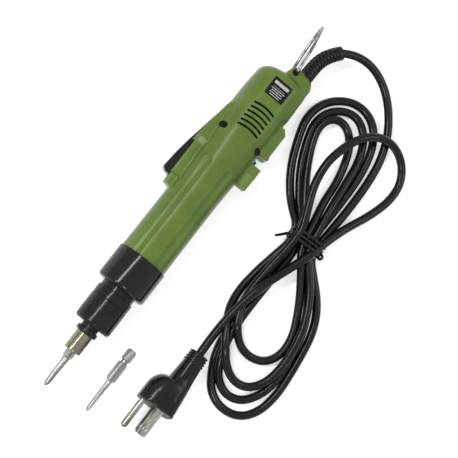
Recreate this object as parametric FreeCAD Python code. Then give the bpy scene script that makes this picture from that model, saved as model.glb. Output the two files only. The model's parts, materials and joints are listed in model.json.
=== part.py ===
import FreeCAD, Part
import math
import os

# Electric torque screwdriver with its mains cord, plug and a spare bit, in millimetres.
# The tool lies along X with its bit at -X, its start lever at +Y, and the parting plane of
# its housing level. Stations (x) are counted from the tip of the bit, y and z from the
# tool's axis, and each piece is moved to the part's own frame when it is saved.

vector = FreeCAD.Vector
along = vector(1, 0, 0)
origin = vector(0, 0, 0)

# Clearances
running = 0.05          # radial gap of a shaft or a slider in its guide
seat_gap = 0.05         # gap of a fixed piece in its seat
free_gap = 0.3          # gap between pieces that pass each other

# Lengths along the tool, from the tip of the bit
bit_reach = 27.9        # bit tip to the front of the chuck sleeve
sleeve_length = 14.1
stop_ring_length = 3.4
spindle_show = 2.8      # stop ring to the torque nut
nut_show = 29.8         # torque nut in front of the nose cap
cap_length = 25.0
body_length = 157.6     # nose cap to the middle of the rear end
guard_share = 0.309     # where the lever's stop block starts, as a share of the body
stop_block_length = 8.4
guard_length = 25.6     # the straight cheeks beside the lever
hump_length = 37.6      # the rounded hump over the lever's pivot

# Diameters and half thicknesses
sleeve_radius = 6.0
stop_ring_radius = 7.6
spindle_radius = 6.2
spindle_nose_radius = 4.8
nut_radius = 13.5
nut_thread_radius = 12.4
cap_radius = 18.0
body_front_radius = 17.0
body_waist_radius = 16.8
body_rear_radius = 19.2
body_end_radius = 18.4
wall = 2.2
flat_height = 17.5      # flats over and under the rear of the housing
cord_radius = 3.0
pin_half = 7.0          # half length of the bore for the lever's pin

x_sleeve = bit_reach
x_stop = x_sleeve + sleeve_length
x_neck = x_stop + stop_ring_length
x_nut = x_neck + spindle_show
x_cap = x_nut + nut_show
x_body = x_cap + cap_length
x_rear = x_body + body_length
x_block = x_body + guard_share * body_length
x_guard = x_block + stop_block_length
x_hump = x_guard + guard_length
x_hump_end = x_hump + hump_length


def cylinder(x0, x1, radius, y=0.0, z=0.0):
    """Cylinder along the tool's axis."""
    return Part.makeCylinder(radius, x1 - x0, vector(x0, y, z), along)


def tube(x0, x1, outer, inner, y=0.0, z=0.0):
    """Ring along the tool's axis."""
    return cylinder(x0, x1, outer, y, z).cut(cylinder(x0 - 1, x1 + 1, inner, y, z))


def cone(x0, x1, r0, r1, y=0.0, z=0.0):
    """Cone along the tool's axis."""
    return Part.makeCone(r0, r1, x1 - x0, vector(x0, y, z), along)


def block(x0, x1, y0, y1, z0, z1):
    """Box between two corners."""
    return Part.makeBox(x1 - x0, y1 - y0, z1 - z0, vector(x0, y0, z0))


def upright(x, y, radius, z0, z1):
    """Cylinder along Z."""
    return Part.makeCylinder(radius, z1 - z0, vector(x, y, z0))


def crosswise(x, z, radius, y0, y1):
    """Cylinder along Y."""
    return Part.makeCylinder(radius, y1 - y0, vector(x, y0, z), vector(0, 1, 0))


def prism(points, z0, z1):
    """Upright prism over a polygon of (x, y) points."""
    corners = [vector(x, y, z0) for x, y in points]
    face = Part.Face(Part.makePolygon(corners + corners[:1]))
    return face.extrude(vector(0, 0, z1 - z0))


def turned(points):
    """Solid of revolution about the tool's axis over (x, radius) points."""
    corners = [vector(x, 0, r) for x, r in points]
    face = Part.Face(Part.makePolygon(corners + corners[:1]))
    return face.revolve(origin, along, 360)


def around(shape, count, phase=0.0):
    """Copies of a shape, evenly turned about the tool's axis."""
    copies = []
    for index in range(count):
        copy = shape.copy()
        copy.rotate(origin, along, phase + 360.0 * index / count)
        copies.append(copy)
    return copies


def hexagon(x0, x1, across, y=0.0, z=0.0):
    """Hexagonal bar along X with a flat face underneath."""
    corner = across / math.sqrt(3)
    corners = []
    for index in range(6):
        angle = math.radians(60 * index)
        corners.append(vector(x0, y + corner * math.cos(angle), z + corner * math.sin(angle)))
    face = Part.Face(Part.makePolygon(corners + corners[:1]))
    return face.extrude(vector(x1 - x0, 0, 0))


def coil(x0, x1, mean_radius, wire_radius, turns):
    """Open coil spring along X, its wire inside the two stations."""
    length = x1 - x0 - 2 * wire_radius
    helix = Part.makeLongHelix(length / turns, length, mean_radius)
    section = Part.Wire(Part.makeCircle(wire_radius, vector(mean_radius, 0, 0), vector(0, 1, 0)))
    spring = Part.Wire(helix).makePipeShell([section], True, True)
    spring.rotate(origin, vector(0, 1, 0), 90)
    spring.translate(vector(x0 + wire_radius, 0, 0))
    return spring


def fused(shapes):
    """One solid of several that touch."""
    return shapes[0].multiFuse(shapes[1:]).removeSplitter()


pieces = {}

# Housing: two half shells that meet in the level parting plane
end_drop = 10.6         # the rear corners start this far before the end
profile_steps = 6
widest = x_body + 0.80 * body_length


def outer_profile(inset):
    """Half outline of the barrel's outside in (x, radius), drawn in by an inset."""
    crown = x_rear - inset
    shoulder = x_rear - end_drop
    curve = Part.BSplineCurve()
    waist = x_body + 0.32 * body_length
    stations = [vector(x_body, 0, body_front_radius - inset)]
    for step in range(profile_steps + 1):
        share = step / float(profile_steps)
        rise = share * share * (3 - 2 * share)
        radius = body_waist_radius + (body_rear_radius - body_waist_radius) * rise
        stations.append(vector(waist + (widest - waist) * share, 0, radius - inset))
    stations.append(vector(shoulder, 0, body_end_radius - inset))
    curve.interpolate(stations)
    corner = Part.Arc(
        vector(shoulder, 0, body_end_radius - inset),
        vector(shoulder + 0.62 * (crown - shoulder), 0, 0.86 * (body_end_radius - inset)),
        vector(crown - 1.4, 0, 0.5 * (body_end_radius - inset)),
    )
    return [
        Part.makeLine(vector(x_body, 0, 0), vector(x_body, 0, body_front_radius - inset)),
        curve.toShape(),
        corner.toShape(),
        Part.makeLine(vector(crown - 1.4, 0, 0.5 * (body_end_radius - inset)), vector(crown, 0, 0)),
        Part.makeLine(vector(crown, 0, 0), vector(x_body, 0, 0)),
    ]


def barrel(inset):
    """Solid of the barrel, flattened over and under its rear."""
    shape = Part.Face(Part.Wire(outer_profile(inset))).revolve(origin, along, 360)
    level = flat_height - inset
    return shape.common(block(x_body - 1, x_rear + 5, -30, 30, -level, level))


# Cheeks, stop block and hump around the start lever, at +Y
cheek_height = 7.6      # half height of the cheeks
block_height = 5.7      # half height of the stop block in front of the lever
cheek_reach = 22.4      # outer face of the cheeks
slot_half = 4.3         # half width of the lever's slot
hump_reach = 24.2
hump_end_reach = 18.3
hump_height = 8.2


def guard():
    """Cheeks, stop block and hump as one solid, before the slot is cut."""
    inside = 12.0
    stop = block(x_block, x_guard + 1, inside, cheek_reach - 0.6, -block_height, block_height)
    stop = stop.makeFillet(1.2, [e for e in stop.Edges if abs(e.CenterOfMass.x - x_block) < 0.01])
    cheeks = block(x_guard, x_hump + 1, inside, cheek_reach, -cheek_height, cheek_height)
    outer_edges = [e for e in cheeks.Edges if abs(e.CenterOfMass.y - cheek_reach) < 0.01
                   and abs(e.CenterOfMass.z) > 1]
    cheeks = cheeks.makeFillet(0.8, outer_edges)
    hump = prism([
        (x_hump, inside),
        (x_hump, hump_reach),
        (x_hump + 0.35 * hump_length, hump_reach - 1.4),
        (x_hump_end, hump_end_reach),
        (x_hump_end + 4, inside),
    ], -hump_height, hump_height)
    long_edges = [e for e in hump.Edges if abs(abs(e.CenterOfMass.z) - hump_height) < 0.01
                  and e.CenterOfMass.y > inside + 2 and e.CenterOfMass.x > x_hump + 1]
    hump = hump.makeFillet(2.4, long_edges)
    return stop, cheeks, hump


# Two guard blocks at -Y with the direction switch between them
boss_share = 0.495          # where the front block starts, as a share of the body
boss_front_length = 17.0
switch_gap = 8.0
boss_rear_length = 23.8
boss_front_reach = 24.9
boss_rear_reach = 23.6
boss_height = 7.0
boss_low = 4.6          # half height of the front block where its slope begins
boss_slope = 10.0
x_boss = x_body + boss_share * body_length
x_boss_end = x_boss + boss_front_length
x_boss_rear = x_boss_end + switch_gap
x_boss_rear_end = x_boss_rear + boss_rear_length


def switch_guards():
    """The two blocks beside the direction switch."""
    inside = -11.0
    front = prism([
        (x_boss, inside),
        (x_boss, -boss_front_reach + 0.8),
        (x_boss + 0.8, -boss_front_reach),
        (x_boss_end - 0.6, -boss_front_reach),
        (x_boss_end, -boss_front_reach + 0.6),
        (x_boss_end, inside),
    ], -boss_height, boss_height)
    side_view = Part.Face(Part.makePolygon([
        vector(x_boss, -40, -boss_low),
        vector(x_boss, -40, boss_low),
        vector(x_boss + boss_slope, -40, boss_height),
        vector(x_boss_end, -40, boss_height),
        vector(x_boss_end, -40, -boss_height),
        vector(x_boss + boss_slope, -40, -boss_height),
        vector(x_boss, -40, -boss_low),
    ]))
    front = front.common(side_view.extrude(vector(0, 40, 0)))
    rear = prism([
        (x_boss_rear, inside),
        (x_boss_rear, -boss_rear_reach + 0.6),
        (x_boss_rear + 0.6, -boss_rear_reach),
        (x_boss_rear_end - 3.5, -boss_rear_reach),
        (x_boss_rear_end, -boss_rear_reach + 3.0),
        (x_boss_rear_end, inside),
    ], -boss_height, boss_height)
    return front, rear


# Rear corner that carries the bail's eyelet and the cord boot
eyelet_x = x_rear + 3.6
eyelet_y = -2.4
eyelet_radius = 2.3
eyelet_wall = 2.2
corner_height = 10.6
boot_x = x_rear + 6.1       # centre of the boot's seat
boot_y = -10.7
corner_lean = 3.0           # the boot's seat leans back by this much over its width
seat_half = 5.6
corner_round = 1.6
rim_round = 1.5


def rear_corner():
    """Block on the rear end with rounded upright corners."""
    points = [
        (x_rear - 22, 3.0),
        (eyelet_x - 1.0, eyelet_y + eyelet_radius + eyelet_wall),
        (eyelet_x + eyelet_radius + eyelet_wall - 1.2, eyelet_y + 2.6),
        (boot_x + corner_lean / 2, boot_y + seat_half),
        (boot_x - corner_lean / 2, boot_y - seat_half),
        (boot_x - 6.0, boot_y - seat_half - 2.4),
        (x_rear - 22, -body_end_radius),
    ]
    shape = prism(points, -corner_height, corner_height)
    upright_edges = []
    for edge in shape.Edges:
        if abs(edge.CenterOfMass.z) < 0.01 and edge.CenterOfMass.x > x_rear - 10:
            upright_edges.append(edge)
    shape = shape.makeFillet(corner_round, upright_edges)
    rims = [e for e in shape.Edges if abs(abs(e.CenterOfMass.z) - corner_height) < 0.01
            and e.CenterOfMass.x > x_rear - 18]
    return shape.makeFillet(rim_round, rims)


neck_length = 8.0           # thread of the housing inside the nose cap
neck_radius = 15.6
case_radius = 14.0          # gear case and its bore in the housing

# Motor stations, between the gear case and the start switch
case_length = 33.0
motor_radius = 13.5
end_bell_length = 8.0
fan_length = 5.0
fan_gap = 1.5               # end bell to fan
fan_room = 2.2              # fan to the start switch
nub_x = x_hump + 10.5       # nub of the lever over the start switch
start_switch_length = 9.0
switch_x0 = nub_x - start_switch_length / 2
x_case = x_body - 1.0
x_case_end = x_case + case_length
x_motor = x_case_end
x_fan = switch_x0 - fan_room - fan_length
x_bell_end = x_fan - fan_gap
x_bell = x_bell_end - end_bell_length
motor_length = x_bell - x_motor

# Lever
lever_half = 4.0
pivot_x = x_hump_end - 4.0
pivot_y = 16.6
pin_radius = 1.25
lever_tip_x = x_guard - 2.4
lever_tip_reach = 27.7
lever_depth = 6.3
lever_swing = 3.6           # degrees
tip_gap = free_gap + (lever_tip_reach - pivot_y) * math.sin(math.radians(lever_swing))
nub_half = 2.0
nub_depth = 14.6
plunger_gap = 0.3

# Screws
screw_x = x_boss_rear - 0.7
screw_y = 14.6
rear_screw_x = x_rear - 12.5
rear_screw_y = 11.6
post_radius = 2.4
screw_radius = 1.25
head_radius = 2.3
head_length = 1.6
recess_radius = 2.6
upper_head_level = 7.0      # height of the seats of the upper screws' heads
lower_head_level = 10.5

# Vents and label
vent_count = 6
vent_pitch = 3.6
vent_length = 17.0
vent_width = 1.3
vents_before_end = 48.2     # middle of the first vent before the rear end
vent_bow = 30.0             # radius of the vents' arcs
label_before_end = 22.0     # front of the label before the rear end
label_length = 13.4
x_label = x_rear - label_before_end
label_width = 14.6
label_thick = 0.3
label_depth = 0.2

# Grip flutes
flute_radius = 5.0
flute_depth = 0.6
flute_angle = 30.0


def vent(middle):
    """Arc-shaped cutter of one vent, bowed towards the rear."""
    half = math.degrees(vent_length / vent_bow) / 2
    centre = vector(middle - vent_bow, 0, 0)
    ring = Part.makeCylinder(vent_bow + vent_width / 2, 30, centre, vector(0, 0, 1), 2 * half)
    core = Part.makeCylinder(vent_bow - vent_width / 2, 30, centre, vector(0, 0, 1), 2 * half)
    ring = ring.cut(core)
    ring.rotate(centre, vector(0, 0, 1), -half)
    return ring


# Switches and control board
start_switch_depth = 6.5
switch_half_height = 3.2
switch_face = 11.6
knob_half_length = 1.6
knob_travel = 1.8
knob_half_height = 2.0
knob_reach = 19.2
x_knob = x_boss_end + knob_half_length + 0.6
board_x0 = screw_x + 5.5
board_end = x_rear - 15.8
board_level = -6.0
board_half = 12.5
board_thick = 1.6


def housing():
    """Both halves with their cavity, posts, recesses and openings."""
    stop, cheeks, hump = guard()
    front_guard, rear_guard = switch_guards()
    corner = rear_corner()
    neck = cylinder(x_body - neck_length, x_body + 1, neck_radius)
    shape = barrel(0).multiFuse([stop, cheeks, hump, front_guard, rear_guard, corner, neck])
    shape = shape.cut(barrel(wall))
    shape = shape.cut(cylinder(x_body - neck_length - 1, x_body + wall + 1, case_radius + seat_gap))
    # posts for the screws, open at the heads' recesses
    posts = []
    for x, y in ((screw_x, screw_y), (screw_x, -screw_y), (rear_screw_x, rear_screw_y),
                 (rear_screw_x, -rear_screw_y)):
        posts.append(upright(x, y, post_radius, -16, 16))
    for side in (1, -1):
        middle = side * (board_half - 1.4)
        posts.append(block(board_x0 + 4, board_end - 6, middle - 0.9, middle + 0.9, -17,
                           board_level))
    posts.append(block(switch_x0 + 1.5, switch_x0 + 7.5, switch_face - 5.5, switch_face - 1.0, -17,
                       -switch_half_height))
    posts = [post.common(barrel(0.5)) for post in posts]
    shape = shape.multiFuse(posts)
    for side in (1, -1):
        shape = shape.cut(upright(screw_x, side * screw_y, recess_radius, upper_head_level, 30))
        shape = shape.cut(upright(screw_x, side * screw_y, screw_radius + seat_gap, -9, 30))
        shape = shape.cut(upright(rear_screw_x, side * rear_screw_y, recess_radius, -30,
                                  -lower_head_level))
        shape = shape.cut(upright(rear_screw_x, side * rear_screw_y, screw_radius + seat_gap,
                                  -30, 9))
    # slot of the lever, its nub's window and its pin
    slot_floor = body_waist_radius + 0.4
    slot = prism([
        (lever_tip_x - tip_gap, slot_floor),
        (lever_tip_x - tip_gap, 40),
        (x_hump_end + 0.4, 40),
        (x_hump_end + 0.4, slot_floor),
        (pivot_x + 2, pivot_y - 3.2),
        (pivot_x - 3, pivot_y - 3.2),
        (pivot_x - 12, slot_floor - 0.6),
        (x_hump + 2, slot_floor),
    ], -slot_half, slot_half)
    shape = shape.cut(slot)
    shape = shape.cut(block(nub_x - nub_half - 1, nub_x + nub_half + 1, 10, 20, -2.6, 2.6))
    shape = shape.cut(upright(pivot_x, pivot_y, pin_radius + seat_gap, -pin_half, pin_half))
    # window of the direction knob
    shape = shape.cut(block(x_knob - knob_half_length - free_gap, x_knob + knob_half_length + free_gap,
                            -30, -10, -knob_half_height - knob_travel - free_gap,
                            knob_half_height + knob_travel + free_gap))
    # eyelet, vents and the label's recess
    shape = shape.cut(upright(eyelet_x, eyelet_y, eyelet_radius, -30, 30))
    for index in range(vent_count):
        shape = shape.cut(vent(x_rear - vents_before_end + vent_pitch * index))
    shape = shape.cut(block(x_label - seat_gap, x_label + label_length + seat_gap,
                            -label_width / 2 - seat_gap, label_width / 2 + seat_gap,
                            flat_height - label_depth, 30))
    # grip flutes over and under the front of the barrel
    for angle in (flute_angle, -flute_angle, 180 + flute_angle, 180 - flute_angle):
        reach = body_waist_radius - flute_depth + flute_radius
        centre_y = -reach * math.sin(math.radians(angle))
        centre_z = reach * math.cos(math.radians(angle))
        flute = cylinder(x_body - 1, x_boss - 2, flute_radius, centre_y, centre_z)
        tip = Part.makeSphere(flute_radius, vector(x_boss - 2, centre_y, centre_z))
        shape = shape.cut(flute.fuse(tip))
    # passage of the cord, from the boot's seat to the inside
    passage = Part.makeCylinder(cord_radius + 0.6, 16, vector(boot_x - 14, boot_y + 0.2, 0), along)
    shape = shape.cut(passage)
    upper = shape.common(block(x_body - 20, x_rear + 20, -40, 40, 0, 40))
    lower = shape.common(block(x_body - 20, x_rear + 20, -40, 40, -40, 0))
    return upper, lower


upper_housing, lower_housing = housing()
pieces["housing_upper"] = upper_housing
pieces["housing_lower"] = lower_housing


def screw(x, y, head_level, side):
    """Pan-head screw whose shank points away from its head's side."""
    head = upright(x, y, head_radius, 0, head_length)
    drive = block(x - 1.5, x + 1.5, y - 0.35, y + 0.35, head_length - 0.8, head_length + 1)
    cross = block(x - 0.35, x + 0.35, y - 1.5, y + 1.5, head_length - 0.8, head_length + 1)
    shank = upright(x, y, screw_radius, -head_level - 7.5, 0.01)
    whole = head.cut(drive).cut(cross).fuse(shank)
    whole.translate(vector(0, 0, head_level))
    if side < 0:
        whole.rotate(vector(x, y, 0), along, 180)
    return whole


screws = []
for side in (1, -1):
    screws.append(screw(screw_x, side * screw_y, upper_head_level, 1))
    screws.append(screw(rear_screw_x, side * rear_screw_y, lower_head_level, -1))
pieces["housing_screws"] = Part.makeCompound(screws)

pieces["label_plate"] = block(x_label, x_label + label_length, -label_width / 2, label_width / 2,
                              flat_height - label_depth, flat_height - label_depth + label_thick)

# Nose cap: screwed over the housing's neck, with the torque nut's thread in its front
cap_wall = cap_radius - neck_radius - seat_gap
cap_nut_length = 12.0
pieces["nose_cap"] = turned([
    (x_cap, nut_thread_radius + running),
    (x_cap, cap_radius - 3.6),
    (x_cap + 0.5, cap_radius - 2.2),
    (x_cap + 1.6, cap_radius - 1.0),
    (x_cap + 3.4, cap_radius - 0.3),
    (x_cap + 5.2, cap_radius),
    (x_body - 0.6, cap_radius),
    (x_body, cap_radius - 0.6),
    (x_body, cap_radius - cap_wall),
    (x_body - neck_length, cap_radius - cap_wall),
    (x_body - neck_length, case_radius),
    (x_cap + cap_nut_length, case_radius),
    (x_cap + cap_nut_length, nut_thread_radius + running),
])

# Torque nut with its bush, spring seat and clutch spring
nut_bore = 7.2
spring_radius = 9.0
spring_wire = 0.9
nut_pocket = spring_radius + spring_wire + 0.5
bush_length = 9.0
nut_travel = 2.0
nut_pitch = 1.0
x_shoulder = x_cap - 4.0
x_nut_end = x_cap + cap_nut_length - nut_travel
x_pocket = x_nut + bush_length + 1.6
nut_groove = 19.0
pieces["torque_nut"] = turned([
    (x_nut, spindle_radius + 1.4),
    (x_nut, nut_radius - 1.2),
    (x_nut + 1.2, nut_radius),
    (x_nut + nut_groove, nut_radius),
    (x_nut + nut_groove + 0.2, nut_radius - 0.35),
    (x_nut + nut_groove + 0.6, nut_radius - 0.35),
    (x_nut + nut_groove + 0.8, nut_radius - 0.1),
    (x_shoulder - 0.6, nut_radius - 0.1),
    (x_shoulder, nut_radius - 0.7),
    (x_shoulder, nut_thread_radius),
    (x_nut_end, nut_thread_radius),
    (x_nut_end, nut_pocket),
    (x_pocket, nut_pocket),
    (x_pocket, nut_bore),
    (x_nut + 1.6 + bush_length, nut_bore),
    (x_nut + 1.6 + bush_length, spindle_radius + 2.2),
    (x_nut + 1.6, spindle_radius + 2.2),
    (x_nut + 1.6, spindle_radius + 1.4),
])
pieces["spindle_bush"] = tube(x_nut + 1.6, x_nut + 1.6 + bush_length,
                              spindle_radius + 2.2 - seat_gap / 5, spindle_radius + running)
seat_length = 1.8
x_seat = x_pocket + 0.1
pieces["spring_seat"] = tube(x_seat, x_seat + seat_length, nut_pocket - 0.15, nut_bore)

# Clutch: the spring presses the plate and its balls against the driver
plate_length = 4.0
clutch_ball_radius = 1.5
clutch_ball_circle = 9.0
clutch_ball_count = 6
driver_length = 3.0
x_driver = x_case - driver_length - 0.6
x_plate = x_driver - 2 * clutch_ball_radius - plate_length + 2.0
x_spring = x_seat + seat_length + 0.1
pieces["clutch_spring"] = coil(x_spring, x_plate - 0.1, spring_radius, spring_wire, 6)
plate = tube(x_plate, x_plate + plate_length, 11.4, spindle_radius + seat_gap / 5)
ball_x = x_plate + plate_length + clutch_ball_radius - 1.0
ball = Part.makeSphere(clutch_ball_radius, vector(ball_x, 0, clutch_ball_circle))
pocket = Part.makeSphere(clutch_ball_radius + seat_gap, vector(ball_x, 0, clutch_ball_circle))
clutch_balls = around(ball, clutch_ball_count)
for dent in around(pocket, clutch_ball_count):
    plate = plate.cut(dent)
pieces["clutch_plate"] = plate
pieces["clutch_balls"] = Part.makeCompound(clutch_balls)

# Output spindle with its hexagonal socket
hex_across = 6.35
hex_clearance = 0.1
head_length_of_bit = 8.4
groove_length = 2.4
groove_radius = 2.45
groove_flank = 0.3
retaining_radius = 1.1
x_ball = x_sleeve + 9.6
x_bit_end = x_ball + groove_length / 2 + head_length_of_bit
spindle_front = x_sleeve + 1.6
x_spindle_end = ball_x + clutch_ball_radius - 1.6
spindle = cylinder(spindle_front, x_neck, spindle_nose_radius)
spindle = spindle.fuse(cylinder(x_neck, x_spindle_end, spindle_radius))
spindle = spindle.cut(hexagon(spindle_front - 1, x_bit_end + 0.4, hex_across + 2 * hex_clearance))
spindle = spindle.cut(cylinder(x_bit_end, x_bit_end + 3, 1.5))
ball_lift = groove_radius + retaining_radius + 0.05
ball_hole = Part.makeCylinder(retaining_radius + seat_gap, 8, vector(x_ball, 0, 0),
                              vector(0, 0, 1))
for hole in around(ball_hole, 2, 90):
    spindle = spindle.cut(hole)
ring_groove_x = spindle_front + 1.2
snap_thick = 0.6
spindle = spindle.cut(tube(ring_groove_x, ring_groove_x + snap_thick + 0.1, 8,
                           spindle_nose_radius - 0.5))
pieces["output_spindle"] = spindle
retaining_ball = Part.makeSphere(retaining_radius, vector(x_ball, 0, ball_lift))
pieces["retaining_balls"] = Part.makeCompound(around(retaining_ball, 2, 90))
pieces["snap_ring"] = tube(ring_groove_x + 0.05, ring_groove_x + 0.05 + snap_thick,
                           spindle_nose_radius + 0.5, spindle_nose_radius - 0.45)
pieces["stop_ring"] = turned([
    (x_stop, spindle_nose_radius + seat_gap / 5),
    (x_stop, stop_ring_radius - 0.4),
    (x_stop + 0.4, stop_ring_radius),
    (x_neck - 0.4, stop_ring_radius),
    (x_neck, stop_ring_radius - 0.4),
    (x_neck, spindle_nose_radius + seat_gap / 5),
])

# Chuck sleeve: drawn forward against its spring to free the bit
sleeve_travel = 2.4
x_step = x_sleeve + 7.0
relief_start = x_ball + 1.3
sleeve_gap = 0.15
pieces["chuck_sleeve"] = turned([
    (x_sleeve, 4.2),
    (x_sleeve, sleeve_radius - 0.5),
    (x_sleeve + 0.5, sleeve_radius),
    (x_stop - sleeve_gap - 0.3, sleeve_radius),
    (x_stop - sleeve_gap, sleeve_radius - 0.3),
    (x_stop - sleeve_gap, 5.5),
    (relief_start, 5.5),
    (relief_start, spindle_nose_radius + running),
    (x_step, spindle_nose_radius + running),
    (x_step, 5.5),
    (x_sleeve + 1.0, 5.5),
    (x_sleeve + 1.0, 4.2),
])
pieces["sleeve_spring"] = coil(ring_groove_x + snap_thick + 0.15, x_step - 0.1, 5.13, 0.2, 3)


def bit(x_tip, x_end, shaft_radius, tip_radius, hex_front, y, z):
    """Hex-shank bit with its groove, round shaft and pointed cross tip."""
    shaft = cone(x_tip + 2.6, hex_front - 2.0, tip_radius + 0.4, shaft_radius, y, z)
    tip = cone(x_tip, x_tip + 2.6, 0.5, tip_radius + 0.4, y, z)
    collar = cone(hex_front - 2.0, hex_front + 0.5, shaft_radius, hex_across / 2, y, z)
    bar = hexagon(hex_front, x_end, hex_across, y, z)
    rim = hex_across / math.sqrt(3)
    dome = turned([
        (hex_front - 1, 0),
        (hex_front - 1, hex_across / 2 - 0.9),
        (hex_front + 1.4, rim + 0.2),
        (x_end - 1.4, rim + 0.2),
        (x_end, hex_across / 2 - 0.8),
        (x_end, 0),
    ])
    dome.translate(vector(0, y, z))
    bar = bar.common(dome)
    groove_end = x_end - head_length_of_bit
    groove = turned([
        (groove_end - groove_length, 5),
        (groove_end - groove_length, 3.6),
        (groove_end - groove_length + groove_flank, groove_radius),
        (groove_end - groove_flank, groove_radius),
        (groove_end, 3.6),
        (groove_end, 5),
    ])
    groove.translate(vector(0, y, z))
    whole = bar.cut(groove).multiFuse([shaft, tip, collar])
    for index in range(4):
        notch = block(x_tip - 1, x_tip + 2.4, 0.35, 3, 0.35, 3)
        notch.rotate(vector(x_tip + 2.4, 0.35, 0.35), vector(0, 1, -1), 14)
        notch.rotate(origin, along, 90 * index)
        notch.translate(vector(0, y, z))
        whole = whole.cut(notch)
    return whole


bit_hex_front = bit_reach - 5.6
pieces["screwdriver_bit"] = bit(0.0, x_bit_end, 2.4, 1.5, bit_hex_front, 0.0, 0.0)


# Planetary gears: two stages of equal proportions
module = 0.5
sun_teeth = 12
planet_teeth = 18
ring_teeth = sun_teeth + 2 * planet_teeth
planet_count = 3
backlash = 0.12
pressure = math.radians(20)
gear_circle = module * (sun_teeth + planet_teeth) / 2


def involute(angle):
    """Involute function."""
    return math.tan(angle) - angle


def gear_face(teeth, x, tip_add, root_drop, thin, turn):
    """Outline face of a gear about the tool's axis, a tooth's middle on +Z when turn is 0."""
    pitch_radius = module * teeth / 2
    base = pitch_radius * math.cos(pressure)
    tip = pitch_radius + tip_add
    root = pitch_radius - root_drop
    half = math.pi / (2 * teeth) + involute(pressure) - thin / (2 * pitch_radius)
    flank = []
    for step in range(5):
        radius = max(root, base) + (tip - max(root, base)) * step / 4
        angle = math.acos(min(1.0, base / radius))
        flank.append((radius, half - involute(angle)))
    if root < base:
        flank.insert(0, (root, flank[0][1]))
    corners = []
    for tooth in range(teeth):
        middle = math.radians(turn) + 2 * math.pi * tooth / teeth
        for radius, offset in flank:
            corners.append((radius, middle - offset))
        for radius, offset in reversed(flank):
            corners.append((radius, middle + offset))
    points = [vector(x, -r * math.sin(a), r * math.cos(a)) for r, a in corners]
    return Part.Face(Part.makePolygon(points + points[:1]))


def gear(teeth, x0, x1, turn=0.0):
    """External spur gear about the tool's axis."""
    face = gear_face(teeth, x0, 0.9 * module, 1.25 * module, backlash / 2, turn)
    return face.extrude(vector(x1 - x0, 0, 0))


# Gear case: ring gear for both stages, with the output bearing in its front
bearing_length = 6.0
bearing_outer = 11.0
shaft_radius = 5.0
lip_length = 1.2
x_stage = x_case + lip_length + bearing_length + 1.0
case = cylinder(x_case, x_case_end, case_radius)
case = case.cut(cylinder(x_case - 1, x_case_end, 8.4))
case = case.cut(cylinder(x_case + lip_length, x_stage, bearing_outer + seat_gap / 5))
teeth_space = gear_face(ring_teeth, x_stage, 1.25 * module, 0.9 * module, -backlash / 2,
                        180.0 / ring_teeth)
case = case.cut(teeth_space.extrude(vector(40, 0, 0)))
pieces["gear_case"] = case


race_share = 0.36           # a ring's thickness as a share of half the bearing's depth
ball_share = 0.52


def bearing(x0, x1, outer, inner, ball_count):
    """Ball bearing as its two rings and its balls."""
    middle = (outer + inner) / 2
    half_depth = (outer - inner) / 2
    radius = ball_share * half_depth
    race = race_share * half_depth + 0.1
    inner_ring = tube(x0, x1, inner + race, inner)
    outer_ring = tube(x0, x1, outer, outer - race)
    ball_shape = Part.makeSphere(radius, vector((x0 + x1) / 2, 0, middle))
    track = Part.makeTorus(middle, radius + 0.02, vector((x0 + x1) / 2, 0, 0), along)
    return [inner_ring.cut(track), outer_ring.cut(track)] + around(ball_shape, ball_count)


x_bearing = x_case + lip_length + 0.1
pieces["output_bearing"] = Part.makeCompound(
    bearing(x_bearing, x_bearing + bearing_length, bearing_outer, shaft_radius + 0.02, 9))

carrier_length = 3.0
pin_of_planet = 1.0
axial_gap = 0.3
case_tail = 4.6             # the input planets end this far inside the gear case
gear_length = (x_case_end - case_tail - x_stage) / 2 - carrier_length - 2 * axial_gap
x_carrier_out = x_stage + axial_gap
x_planet_out = x_carrier_out + carrier_length + axial_gap
x_planet_out_end = x_planet_out + gear_length
x_carrier_in = x_planet_out_end + axial_gap
x_planet_in = x_carrier_in + carrier_length + axial_gap
x_planet_in_end = x_planet_in + gear_length
carrier_radius = 10.6


def carrier(x0, x_gears, x_gears_end):
    """Planet carrier plate with its three pins."""
    plate_shape = cylinder(x0, x0 + carrier_length, carrier_radius)
    pin = cylinder(x0 + carrier_length - 0.01, x_gears_end, pin_of_planet, 0, gear_circle)
    return [plate_shape] + around(pin, planet_count)


driver = cylinder(x_driver, x_driver + driver_length, 11.4)
for dent in around(pocket, clutch_ball_count):
    driver = driver.cut(dent)
driver_shaft = cylinder(x_driver + driver_length - 0.01, x_carrier_out + 0.01, shaft_radius)
pieces["output_carrier"] = fused(
    [driver, driver_shaft] + carrier(x_carrier_out, x_planet_out, x_planet_out_end))
sun = gear(sun_teeth, x_carrier_in - gear_length, x_carrier_in + 0.01)
sun = sun.common(cylinder(x_planet_out - 0.1, x_carrier_in + 1, 5))
pieces["input_carrier"] = fused(carrier(x_carrier_in, x_planet_in, x_planet_in_end) + [sun])


def planet(x0, x1, index):
    """Planet gear on its carrier pin, its tooth gap facing the sun."""
    shape = gear(planet_teeth, x0, x1, 180.0 / planet_teeth)
    shape = shape.cut(cylinder(x0 - 1, x1 + 1, pin_of_planet + running))
    shape.translate(vector(0, 0, gear_circle))
    shape.rotate(origin, along, 360.0 * index / planet_count)
    return shape


for index in range(planet_count):
    pieces["output_planet_%d" % (index + 1)] = planet(x_planet_out, x_planet_out_end, index)
    pieces["input_planet_%d" % (index + 1)] = planet(x_planet_in, x_planet_in_end, index)

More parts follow.
